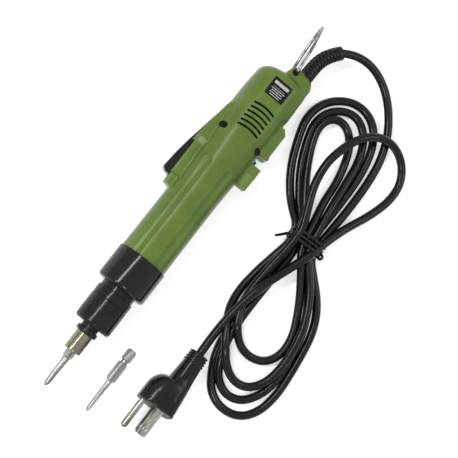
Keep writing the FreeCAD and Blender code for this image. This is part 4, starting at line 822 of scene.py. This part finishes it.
def closeTree(tree, source, copies):
    # the copies become real meshes with their finish
    realize = tree.nodes.new("GeometryNodeRealizeInstances")
    paint = tree.nodes.new("GeometryNodeSetMaterial")
    result = tree.nodes.new("NodeGroupOutput")
    tree.links.new(copies.outputs["Instances"], realize.inputs["Geometry"])
    tree.links.new(realize.outputs["Geometry"], paint.inputs["Geometry"])
    tree.links.new(source.outputs["Finish"], paint.inputs["Material"])
    tree.links.new(paint.outputs["Geometry"], result.inputs["Geometry"])


def repeatTree():
    # Geometry Nodes: copies of the object in a straight row
    tree = bpy.data.node_groups.new("rowOfCopies", "GeometryNodeTree")
    tree.interface.new_socket("Geometry", in_out="INPUT", socket_type="NodeSocketGeometry")
    count = tree.interface.new_socket("Count", in_out="INPUT", socket_type="NodeSocketInt")
    pitch = tree.interface.new_socket("Pitch", in_out="INPUT", socket_type="NodeSocketFloat")
    finish = tree.interface.new_socket("Finish", in_out="INPUT", socket_type="NodeSocketMaterial")
    tree.interface.new_socket("Geometry", in_out="OUTPUT", socket_type="NodeSocketGeometry")
    source = tree.nodes.new("NodeGroupInput")
    line = tree.nodes.new("GeometryNodeMeshLine")
    offset = tree.nodes.new("ShaderNodeCombineXYZ")
    copies = tree.nodes.new("GeometryNodeInstanceOnPoints")
    tree.links.new(source.outputs["Count"], line.inputs["Count"])
    tree.links.new(source.outputs["Pitch"], offset.inputs["X"])
    tree.links.new(offset.outputs[0], line.inputs["Offset"])
    tree.links.new(line.outputs["Mesh"], copies.inputs["Points"])
    tree.links.new(source.outputs["Geometry"], copies.inputs["Instance"])
    closeTree(tree, source, copies)
    return tree, {"count": count.identifier, "pitch": pitch.identifier, "finish": finish.identifier}


rowTree, rowInputs = repeatTree()


def repeatInRow(piece, count, pitch, finishName):
    row = piece.modifiers.new("row", "NODES")
    row.node_group = rowTree
    row[rowInputs["count"]] = count
    row[rowInputs["pitch"]] = pitch * mm
    row[rowInputs["finish"]] = finishes[finishName]
    return settle(piece)


def ventCutter():
    v = openings["vents"]
    half = v["length"] / v["bow"] / 2
    centre = v["first"] - v["bow"]
    corners = []
    for radius, turn in ((v["bow"] + v["width"] / 2, 1), (v["bow"] - v["width"] / 2, -1)):
        corners += [(centre + radius * math.cos(a), radius * math.sin(a))
                    for a in np.linspace(-half * turn, half * turn, 17)]
    return repeatInRow(cutterSlab(corners, 6.0, 30.0), v["count"], v["pitch"], "green_housing")


def sharedCutters(side):
    # cutters of one half; side is 1 for the upper and -1 for the lower
    o = openings
    slot, eyelet = o["slot"], o["eyelet"]
    first = [cutterSlab(slot["outline"], -slot["half"], slot["half"]), cutterBox(o["knobWindow"]),
             cutterDisc(eyelet["x"], eyelet["y"], eyelet["radius"], -30, 30)]
    second = [cutterBox(o["nubWindow"])]
    if side > 0:
        first.append(ventCutter())
        label, screws = o["label"], o["upperScrews"]
        first.append(cutterSlab(rectangle(label["x0"], -label["half"], label["x1"], label["half"], 0.8),
                                label["floor"], 30))
        for turn in (1, -1):
            first.append(cutterDisc(screws["x"], turn * screws["y"], screws["radius"], screws["seat"], 30))
    else:
        screws = o["lowerScrews"]
        for turn in (1, -1):
            first.append(cutterDisc(screws["x"], turn * screws["y"], screws["radius"], -30, -screws["seat"]))
    return first, second


def joined(pieces):
    # one object from several that don't touch
    shape = bmesh.new()
    for piece in pieces:
        shape.from_mesh(piece.data)
    mesh = bpy.data.meshes.new("cutters")
    shape.to_mesh(mesh)
    shape.free()
    for piece in pieces:
        bpy.data.objects.remove(piece)
    whole = bpy.data.objects.new("cutters", mesh)
    scene.collection.objects.link(whole)
    return whole


def makeHousing():
    points, faces = halfShell()
    for name, side in (("housingUpper", 1), ("housingLower", -1)):
        turned = points * (1, 1, side)
        piece = makePiece(name, turned, faces, "green_housing", "tool_body", sharp=32)
        first, second = sharedCutters(side)
        carve(piece, [joined(first), joined(second)])
        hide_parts("housing_upper" if side > 0 else "housing_lower")
        print("stage:", name, len(piece.data.polygons), "faces")


makeHousing()

# Turned pieces at the front, as closed profiles of (station, radius, fillet)
turnedPieces = {
    "noseCap": {"node": "nose_cap", "finish": "black_gloss", "body": "tool_body", "profile": [
        (78.0, 12.5, 0.2), (78.0, 18.0, 3.6), (103.0, 18.0, 0.5), (103.0, 15.65, 0.1), (95.0, 15.65),
        (95.0, 14.0), (90.0, 14.0), (90.0, 12.5)]},
    "torqueNut": {"node": "torque_nut", "finish": "black_anodised", "body": "torque_nut", "profile": [
        (48.2, 7.6, 0.3), (48.2, 12.2, 0.3), (49.9, 13.5, 0.5), (67.2, 13.5, 0.12), (67.35, 13.1, 0.1),
        (67.9, 13.1, 0.1), (68.05, 13.42, 0.12), (74.0, 13.42, 0.5), (74.0, 12.4), (88.0, 12.4),
        (88.0, 10.4), (58.8, 10.4), (58.8, 8.5), (49.8, 8.5), (49.8, 7.6)]},
    "stopRing": {"node": "stop_ring", "finish": "black_steel", "body": "spindle", "profile": [
        (42.0, 4.82), (42.0, 7.6, 0.5), (45.4, 7.6, 0.5), (45.4, 4.82)]},
    "chuckSleeve": {"node": "chuck_sleeve", "finish": "collar_brass", "body": "chuck_sleeve", "profile": [
        (27.9, 4.2, 0.1), (27.9, 6.0, 0.6), (33.2, 6.0, 0.1), (33.35, 5.85, 0.1), (33.75, 5.85, 0.1),
        (33.9, 6.0, 0.1), (41.85, 6.0, 0.35), (41.85, 5.5), (38.8, 5.5), (38.8, 4.85), (34.9, 4.85),
        (34.9, 5.5), (28.9, 5.5), (28.9, 4.2)]},
}
for pieceName, made in turnedPieces.items():
    piece = lathe(pieceName, made["profile"], made["finish"], made["body"])
    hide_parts(made["node"])
print("stage: turned pieces")

# Bits: a hexagonal shank with its groove, a round shaft and a cross tip
bits = {
    "fittedBit": {"node": "screwdriver_bit", "body": "spindle", "x": 0.0, "y": 0.0, "z": 0.0,
                  "hexFront": 22.3, "end": 47.1, "shaft": 2.4, "tip": 1.9},
    "spareBit": {"node": "spare_bit", "body": "spare_bit", "x": 3.0, "y": -33.6, "z": None,
                 "hexFront": 24.6, "end": 50.0, "shaft": 1.9, "tip": 1.5},
}
bitShape = {"across": 6.35, "headLength": 8.4, "grooveLength": 2.4, "grooveRadius": 2.45, "steps": 96}


def bitProfile(x, bit):
    # largest radius at a station, before the hexagon limits it
    end, hexFront, groove = bit["end"], bit["hexFront"], bit["end"] - bitShape["headLength"]
    knots = [(0.0, 0.35), (0.5, 0.9), (2.6, bit["tip"]), (hexFront - 2.4, bit["shaft"]),
             (hexFront - 0.4, bit["shaft"] + 0.25), (hexFront + 0.6, 3.0), (hexFront + 1.6, 3.75),
             (groove - 2.75, 3.75), (groove - 2.1, bitShape["grooveRadius"]),
             (groove - 0.3, bitShape["grooveRadius"]), (groove + 0.35, 3.75), (end - 1.5, 3.75),
             (end - 0.3, 2.9), (end, 2.3)]
    return float(np.interp(x, [k[0] for k in knots], [k[1] for k in knots]))


def makeBit(name, bit):
    tipRows = [0.0, 0.15, 0.35, 0.6, 1.0, 1.5, 2.0, 2.6, 3.2]
    shaftRows = list(np.arange(4, bit["hexFront"] - 2.4, 2.5))
    shankRows = list(np.arange(bit["hexFront"] - 2.6, bit["end"] + 0.01, 0.22))
    rows = sorted(set(tipRows + shaftRows + shankRows + [bit["end"]]))
    level = table + bitShape["across"] / 2 if bit["z"] is None else bit["z"]
    corner = bitShape["across"] / math.sqrt(3)
    rings = []
    for x in rows:
        ring = []
        for step in range(bitShape["steps"]):
            angle = 2 * math.pi * step / bitShape["steps"]
            wedge = (angle + math.pi / 6) % (math.pi / 3) - math.pi / 6
            flatAngle = math.pi / 6 - abs(wedge)
            hexRadius = min(bitShape["across"] / 2 / math.cos(flatAngle), corner - 0.08)
            radius = min(bitProfile(x, bit), hexRadius if x > bit["hexFront"] - 1 else 9.0)
            if x < 3.2:
                wing = abs(math.sin(2 * angle))
                radius *= 1 - 0.42 * wing ** 3 * (1 - x / 3.2)
            ring.append((bit["x"] + x, bit["y"] + radius * math.cos(angle), level + radius * math.sin(angle)))
        rings.append(ring)
    piece = loft(name, rings, "bit_steel", bit["body"], sharp=28)
    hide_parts(bit["node"])


for bitName, bit in bits.items():
    makeBit(bitName, bit)
print("stage: bits")

# Start lever with its nub, and the direction knob
lever = {
    "half": 4.0, "bevel": 0.7, "pivot": (219.3, 16.6), "pinRadius": 1.3,
    "outline": [
        (157.9, 25.0, 1.2), (160.0, 28.0, 1.6), (172.0, 27.2, 8.0), (184.1, 25.7, 6.0), (221.6, 19.5, 1.2),
        (223.1, 17.4, 0.6), (221.3, 14.4, 0.8), (216.8, 14.4, 0.6), (208.8, 17.8, 1.0), (198.2, 19.2, 0.2),
        (194.2, 19.4, 0.2), (187.7, 19.8, 2.0), (157.7, 21.4, 0.6),
    ],
    "nub": {"x0": 194.2, "x1": 198.2, "y0": 14.6, "y1": 19.6, "half": 1.8},
    "pocket": {"x": 172.1, "radius": 2.5, "top": 24.0},
}


def makeLever():
    piece = slab("startLever", lever["outline"], -lever["half"], lever["half"], "black_gloss", "start_lever",
                 bevel=lever["bevel"], segments=4)
    pocket = lever["pocket"]
    bore = cutterDisc(*lever["pivot"], lever["pinRadius"], -10, 10)
    rings = []
    for y in (14.0, pocket["top"]):
        rings.append([(pocket["x"] + a, y, b) for a, b in circle(pocket["radius"], 32)])
    well = loft("well", rings, "black_gloss", None)
    carve(piece, [joined([bore, well])])
    nub = lever["nub"]
    corners = [(nub["x0"], nub["y0"], 0.6), (nub["x1"], nub["y0"], 0.6), (nub["x1"], nub["y1"]),
               (nub["x0"], nub["y1"])]
    slab("leverNub", corners, -nub["half"], nub["half"], "black_gloss", "start_lever", bevel=0.25)
    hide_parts("start_lever")


makeLever()

# rows are (y, how much narrower)
knob = {
    "x": 200.2,
    "stem": {"half": (1.6, 2.0), "fillet": 0.4, "narrowing": (1.0, 1.0),
             "rows": [(-15.02, 0.45), (-15.1, 0.0), (-18.9, 0.0), (-19.15, 0.2), (-19.2, 0.45)]},
    "ridge": {"half": (1.4, 0.5), "fillet": 0.1, "narrowing": (0.5, 1.0),
              "rows": [(-19.0, 0.0), (-19.7, 0.0), (-19.95, 0.2), (-20.0, 0.35)]},
}


def knobPart(name, part):
    rings = []
    for y, shrink in part["rows"]:
        w = part["half"][0] - shrink * part["narrowing"][0]
        h = part["half"][1] - shrink * part["narrowing"][1]
        rings.append([(knob["x"] + a, y, b) for a, b in roundOff(rectangle(-w, -h, w, h, part["fillet"]))])
    return loft(name, rings, "black_gloss", "direction_knob")


def makeKnob():
    piece = knobPart("directionKnob", knob["stem"])
    knobPart("knobRidge", knob["ridge"])
    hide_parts("direction_knob")


makeKnob()
print("stage: lever and knob")

# Label: a thin black plate with plain printed lines
label = {
    "x0": 238.6, "x1": 252.0, "half": 7.3, "floor": 17.3, "top": 17.6, "pitch": 1.5, "bar": 2.2,
    "look": {"light": (18, 18, 20), "dark": (10, 10, 12), "cloud": 120, "grain": 2600,
             "rough": (0.26, 0.36), "bump": 0.06, "gloss": 0.14},
}


def labelFinish():
    material = makeFinish("label_black", label["look"])
    tree = material.node_tree
    shader = tree.nodes["Principled BSDF"]
    base = shader.inputs["Base Color"].links[0].from_socket

    def work(operation, *values):
        return addMath(tree, operation, *values)

    coordinates = tree.nodes.new("ShaderNodeTexCoord")
    split = tree.nodes.new("ShaderNodeSeparateXYZ")
    tree.links.new(coordinates.outputs["Object"], split.inputs[0])
    along = work("SUBTRACT", split.outputs["X"], at(label["x0"] + 1.2)[0])
    across = work("ABSOLUTE", work("SUBTRACT", split.outputs["Y"], axisY))
    rows = work("DIVIDE", along, label["pitch"] * mm)
    stripe = work("LESS_THAN", work("FRACT", rows), 0.34)
    wobble = work("FRACT", work("MULTIPLY", work("FLOOR", rows), 0.618))
    width = work("ADD", work("MULTIPLY", wobble, 1.6 * mm), 3.9 * mm)
    lines = work("MULTIPLY", stripe, work("LESS_THAN", across, width))
    lines = work("MULTIPLY", lines, work("LESS_THAN", along, 6.2 * mm))
    lines = work("MULTIPLY", lines, work("GREATER_THAN", along, 0.0))
    barIn = work("GREATER_THAN", along, 8.0 * mm)
    barOut = work("LESS_THAN", along, (8.0 + label["bar"]) * mm)
    bar = work("MULTIPLY", work("MULTIPLY", barIn, barOut), work("LESS_THAN", across, 5.6 * mm))
    mask = work("MULTIPLY", work("MAXIMUM", lines, bar), 0.75)
    mix = tree.nodes.new("ShaderNodeMix")
    mix.data_type = "RGBA"
    tree.links.new(mask, mix.inputs[0])
    tree.links.new(base, mix.inputs[6])
    mix.inputs[7].default_value = colour(196, 198, 198)
    tree.links.new(mix.outputs[2], shader.inputs["Base Color"])
    return material


finishes["label_black"] = labelFinish()
labelCorners = rectangle(label["x0"], -label["half"], label["x1"], label["half"], 0.7)
labelPiece = slab("labelPlate", labelCorners, label["floor"], label["top"], "label_black", "tool_body",
                  bevel=0.08, segments=2)
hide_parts("label_plate")

# Cord boot: a tapering sleeve over the cord
boot = {
    "path": [(264.3, -10.7, 0.0), (273.4, -10.7, 0.0), (283.6, -11.3, 0.0), (292.8, -15.2, -0.2),
             (298.6, -20.0, -0.6)],
    "outer": (5.4, 4.9), "depth": 0.95, "windows": 12, "steps": 72, "rings": 260,
}


def ribTree():
    # Geometry Nodes: rings along a path, tapering from its start to its end
    tree = bpy.data.node_groups.new("ribsAlongPath", "GeometryNodeTree")
    tree.interface.new_socket("Geometry", in_out="INPUT", socket_type="NodeSocketGeometry")
    names = {}
    for key, kind in (("Count", "Int"), ("First Radius", "Float"), ("Last Radius", "Float"),
                      ("Thickness", "Float"), ("Finish", "Material")):
        socket = tree.interface.new_socket(key, in_out="INPUT", socket_type="NodeSocket" + kind)
        names[key] = socket.identifier
    tree.interface.new_socket("Geometry", in_out="OUTPUT", socket_type="NodeSocketGeometry")
    source = tree.nodes.new("NodeGroupInput")
    spots = tree.nodes.new("GeometryNodeCurveToPoints")
    spots.mode = "COUNT"
    ring = tree.nodes.new("GeometryNodeCurvePrimitiveCircle")
    ring.inputs["Resolution"].default_value = 40
    ring.inputs["Radius"].default_value = 1.0
    wire = tree.nodes.new("GeometryNodeCurvePrimitiveCircle")
    wire.inputs["Resolution"].default_value = 10
    sweep = tree.nodes.new("GeometryNodeCurveToMesh")
    index = tree.nodes.new("GeometryNodeInputIndex")
    last = addMath(tree, "SUBTRACT", source.outputs["Count"], 1.0)
    share = addMath(tree, "DIVIDE", index.outputs[0], last)
    size = tree.nodes.new("ShaderNodeMapRange")
    relative = addMath(tree, "DIVIDE", source.outputs["Thickness"], source.outputs["First Radius"])
    copies = tree.nodes.new("GeometryNodeInstanceOnPoints")
    link = tree.links.new
    link(source.outputs["Geometry"], spots.inputs["Curve"])
    link(source.outputs["Count"], spots.inputs["Count"])
    link(share, size.inputs["Value"])
    link(source.outputs["First Radius"], size.inputs["To Min"])
    link(source.outputs["Last Radius"], size.inputs["To Max"])
    link(relative, wire.inputs["Radius"])
    link(ring.outputs["Curve"], sweep.inputs["Curve"])
    link(wire.outputs["Curve"], sweep.inputs["Profile Curve"])
    link(sweep.outputs["Mesh"], copies.inputs["Instance"])
    link(spots.outputs["Points"], copies.inputs["Points"])
    link(spots.outputs["Rotation"], copies.inputs["Rotation"])
    link(size.outputs["Result"], copies.inputs["Scale"])
    closeTree(tree, source, copies)
    return tree, names


ribNodes, ribInputs = ribTree()


def ribsAlong(name, path, count, firstRadius, lastRadius, thickness, finishName, body):
    mesh = bpy.data.meshes.new(name)
    mesh.from_pydata([tuple(p) for p in path], [(k, k + 1) for k in range(len(path) - 1)], [])
    carrier = bpy.data.objects.new(name, mesh)
    scene.collection.objects.link(carrier)
    bpy.context.view_layer.objects.active = carrier
    for other in bpy.context.selected_objects:
        other.select_set(False)
    carrier.select_set(True)
    bpy.ops.object.convert(target="CURVE")
    rings = carrier.modifiers.new("ribs", "NODES")
    rings.node_group = ribNodes
    rings[ribInputs["Count"]] = count
    rings[ribInputs["First Radius"]] = firstRadius * mm
    rings[ribInputs["Last Radius"]] = lastRadius * mm
    rings[ribInputs["Thickness"]] = thickness * mm
    rings[ribInputs["Finish"]] = finishes[finishName]
    depsgraph = bpy.context.evaluated_depsgraph_get()
    result = bpy.data.meshes.new_from_object(carrier.evaluated_get(depsgraph))
    bpy.data.objects.remove(carrier)
    result.shade_smooth()
    piece = bpy.data.objects.new(name, result)
    scene.collection.objects.link(piece)
    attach(piece, body)
    return piece


def makeBoot():
    # a tapering sleeve with two staggered rows of windows sunk round it, and a plain cuff
    line = smoothPath([at(*p) for p in boot["path"]], boot["rings"])
    stations = stationsOf(line)

    def section(index):
        share = index / (boot["rings"] - 1)
        radius = boot["outer"][0] + (boot["outer"][1] - boot["outer"][0]) * share
        ring = []
        for step in range(boot["steps"]):
            angle = 2 * math.pi * step / boot["steps"]
            depth = 0.0
            if 0.05 < share < 0.92:
                place = (share - 0.05) / 0.87 * boot["windows"]
                sector = math.floor(angle / (math.pi / 4)) % 2
                phase = (place + 0.5 * sector) % 1
                along = min(1.0, max(0.0, (0.30 - abs(phase - 0.5)) / 0.07))
                beside = (angle % (math.pi / 4)) / (math.pi / 4)
                across = min(1.0, max(0.0, (0.42 - abs(beside - 0.5)) / 0.08))
                depth = boot["depth"] * along * across
            ring.append(((radius - depth) * math.cos(angle), (radius - depth) * math.sin(angle)))
        return ring

    sleeve = loft("cordBoot", alongPath(stations, section), "cord_pvc", "tool_body", sharp=30)
    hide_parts("cord_boot")


makeBoot()
print("stage: boot")

# Bail: one spring wire, its two bent ends in the eyelet
bail = {"wire": 1.1, "x": 265.1, "y": -2.4, "lean": 5.6,
        "half": [(-5.6, 0.0), (-10.6, 0.0), (-13.6, 0.15), (-14.3, 1.6), (-14.1, 6.0), (-12.6, 20.8),
                 (-8.2, 29.8), (-4.2, 35.8), (-2.8, 37.5), (-1.4, 37.9)]}


def makeBail():
    rise = math.tan(math.radians(bail["lean"]))
    lower = [(bail["x"] + ahead, bail["y"] + max(0.0, ahead - 1.6) * rise, z) for z, ahead in bail["half"]]
    upper = [(x, y, -z) for x, y, z in reversed(lower)]
    line = smoothPath([at(*p) for p in lower + upper], 220)
    rings = alongPath(stationsOf(line), lambda index: circle(bail["wire"], 20))
    piece = loft("bailWire", rings, "bright_steel", "bail", sharp=50)
    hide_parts("bail")


makeBail()

# Twist tie: a covered wire wound round the hank, its ends twisted together
tie = {
    "x": 183.0, "y": -81.4, "halfWidth": 13.0, "top": 16.6, "wire": 1.15, "turns": 3, "pitch": 3.1,
    "endWire": 0.95, "knotWire": 1.0,
    "twist": {"from": (181.0, -68.6, 12.0), "to": (174.0, -62.6, 9.0), "radius": 1.0, "pitch": 4.2},
    "knot": [(180.0, -93.6, 9.0), (178.6, -95.4, 10.6), (180.2, -96.6, 12.6), (182.4, -95.2, 12.4),
             (182.0, -93.4, 10.4)],
}


def tieWire(name, corners, samples, radius, steps):
    rings = alongPath(stationsOf(smoothPath(corners, samples)), lambda index: circle(radius, steps))
    return loft(name, rings, "tie_plastic", "tool_body", sharp=50)


def makeTie():
    # one open wire that winds round the hank in a rounded rectangle
    sides = []
    half, low, high = tie["halfWidth"], tie["wire"] + 0.1, tie["top"]
    ring = [(-half + 4, low), (0, low), (half - 4, low), (half - 0.6, low + 3), (half, (low + high) / 2),
            (half - 1.0, high - 3.6), (half - 5, high - 0.4), (0, high), (-half + 5, high - 0.4),
            (-half + 1.0, high - 3.6), (-half, (low + high) / 2), (-half + 0.6, low + 3)]
    total = len(ring) * tie["turns"]
    for index in range(total + 1):
        across, height = ring[index % len(ring)]
        along = tie["x"] + (index / len(ring) - tie["turns"] / 2) * tie["pitch"]
        sides.append(overTable(along, tie["y"] + across, height))
    coil = tieWire("tieCoil", sides, 420, tie["wire"], 14)
    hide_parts("cord_tie")
    pieces = [coil]
    twist = tie["twist"]
    start, end = np.array(twist["from"]), np.array(twist["to"])
    for number in (0, 1):
        corners = []
        for step in range(17):
            share = step / 16
            middle = start + (end - start) * share
            angle = share * np.linalg.norm(end - start) / twist["pitch"] * 2 * math.pi + number * math.pi
            swing = twist["radius"] * (1 + 1.2 * max(0, share - 0.85))
            corners.append(overTable(middle[0] + swing * math.sin(angle) * 0.65,
                                     middle[1] - swing * math.sin(angle) * 0.75,
                                     middle[2] + swing * math.cos(angle)))
        pieces.append(tieWire("tieEnd%d" % (number + 1), corners, 70, tie["endWire"], 12))
    pieces.append(tieWire("tieKnot", [overTable(*p) for p in tie["knot"]], 50, tie["knotWire"], 12))
    return pieces


tiePieces = makeTie()
print("stage: bail and tie")

# Plug: a moulded body whose one side runs straight into the neck, with its pins from the frame
plug = {
    "face": 29.8, "end": 78.0, "slant": 3.3, "steps": 96, "height": 12.6, "tallest": 12.4,
    "right": [(29.8, -80.0), (48.0, -78.6), (64.0, -76.9), (78.0, -75.3)],
    "left": [(29.8, -52.6), (42.0, -52.6)], "domeStart": 42.0, "domeEnd": 54.0,
    "neckLeft": [(54.0, -61.9), (78.0, -63.2)],
    "half": [(29.8, 12.4), (42.0, 12.4), (50.0, 11.0), (58.0, 8.6), (78.0, 6.3)],
    "boxy": [(29.8, 4.6), (44.0, 4.0), (60.0, 2.2), (78.0, 2.0)],
    "ribs": {"path": [(70.6, -69.4), (77.0, -69.25)], "count": 4, "radii": (6.5, 6.1), "thick": 0.95},
}


def knotted(knots, x):
    return float(np.interp(x, [knot[0] for knot in knots], [knot[1] for knot in knots]))


def plugSection(x, shrink):
    right = knotted(plug["right"], x)
    if x <= plug["domeStart"]:
        left = knotted(plug["left"], x)
    elif x < plug["domeEnd"]:
        share = (x - plug["domeStart"]) / (plug["domeEnd"] - plug["domeStart"])
        start, end = plug["left"][-1][1], plug["neckLeft"][0][1]
        left = end + (start - end) * math.sqrt(1 - share * share)
    else:
        left = knotted(plug["neckLeft"], x)
    middle = (left + right) / 2
    width = (left - right) / 2 - shrink
    half = knotted(plug["half"], x) - shrink
    ring = []
    for step in range(plug["steps"]):
        angle = 2 * math.pi * step / plug["steps"]
        across, rise = math.cos(angle), math.sin(angle)
        power = 2 / (knotted(plug["boxy"], x) if across < 0 else 2.3)
        y = middle + width * math.copysign(abs(across) ** power, across)
        z = half * math.copysign(abs(rise) ** power, rise)
        lean = max(0.0, 1 - (x - plug["face"]) / 12)
        tall = plug["tallest"]
        ring.append((x + plug["slant"] * lean * (z + tall) / (2 * tall), y, table + plug["height"] + z))
    return ring


def makePlug():
    dome = plug["domeEnd"] - plug["domeStart"]
    rim = ((0.02, 0.75), (0.12, 0.35), (0.4, 0.1), (0.8, 0))
    rows = [(plug["face"] + ahead, shrink) for ahead, shrink in rim]
    rows += [(x, 0) for x in np.arange(32.0, plug["domeStart"], 1.4)]
    rows += [(x, 0) for x in plug["domeStart"] + dome * np.sin(np.linspace(0, math.pi / 2, 22))]
    rows += [(x, 0) for x in np.arange(54.6, plug["end"] - 0.7, 0.8)]
    rows += [(plug["end"] - 0.5, 0.0), (plug["end"] - 0.1, 0.25), (plug["end"], 0.6)]
    body = loft("plugBody", [plugSection(x, shrink) for x, shrink in rows], "cord_pvc", "tool_body", sharp=38)
    # Painted sheen: the faces that point forward get a lighter grey than the rest of the body.
    body.data.materials.append(finishes["plug_face_painted_sheen"])
    for polygon in body.data.polygons:
        if polygon.normal.x < -0.75:
            polygon.material_index = 1
    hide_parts("plug_body")
    ribs = plug["ribs"]
    line = [overTable(x, y, plug["height"]) for x, y in ribs["path"]]
    rings = ribsAlong("plugRibs", line, ribs["count"], *ribs["radii"], ribs["thick"], "cord_pvc", "tool_body")
    return body, rings


plugBody, plugRibs = makePlug()
print("stage: plug")

# Springs: copies of the frame's own coils in the spring steel finish, in place of them
springs = {
    "clutchSpring": {"node": "clutch_spring", "bodies": ("spring_feed", "tool_body"),
                     "start": (60.8, 0.0), "end": (93.3, 0.0)},
    "sleeveSpring": {"node": "sleeve_spring", "bodies": ("spindle", "chuck_sleeve"),
                     "start": (31.45, 0.0), "end": (34.8, 0.0)},
    "leverSpring": {"node": "lever_spring", "bodies": ("tool_body", "start_lever"),
                    "start": (172.1, 17.3), "end": (172.1, 23.9)},
}


def makeSpring(name, spring):
    node = frame["nodes"][spring["node"]]
    mesh = node.data.copy()
    mesh.transform(node.matrix_world)
    mesh.materials.clear()
    mesh.materials.append(finishes["spring_steel"])
    piece = bpy.data.objects.new(name, mesh)
    scene.collection.objects.link(piece)
    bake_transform(piece)
    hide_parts(spring["node"])


for springName, spring in springs.items():
    makeSpring(springName, spring)
print("stage: springs")

# The nodes that stay as they are get the finish of their slot
slotOf = {part["node"]: part["material_slot"] for part in frame["record"]["subparts"]}
darkened = {"output_spindle": "black_steel", "housing_screws": "black_steel"}
for nodeName, node in frame["nodes"].items():
    if node.hide_render:
        continue
    finish = finishes[darkened.get(nodeName, slotOf[nodeName])]
    if not node.data.materials:
        node.data.materials.append(finish)
    for slotEntry in node.material_slots:
        slotEntry.material = finish
print("stage: finishes on the other nodes")
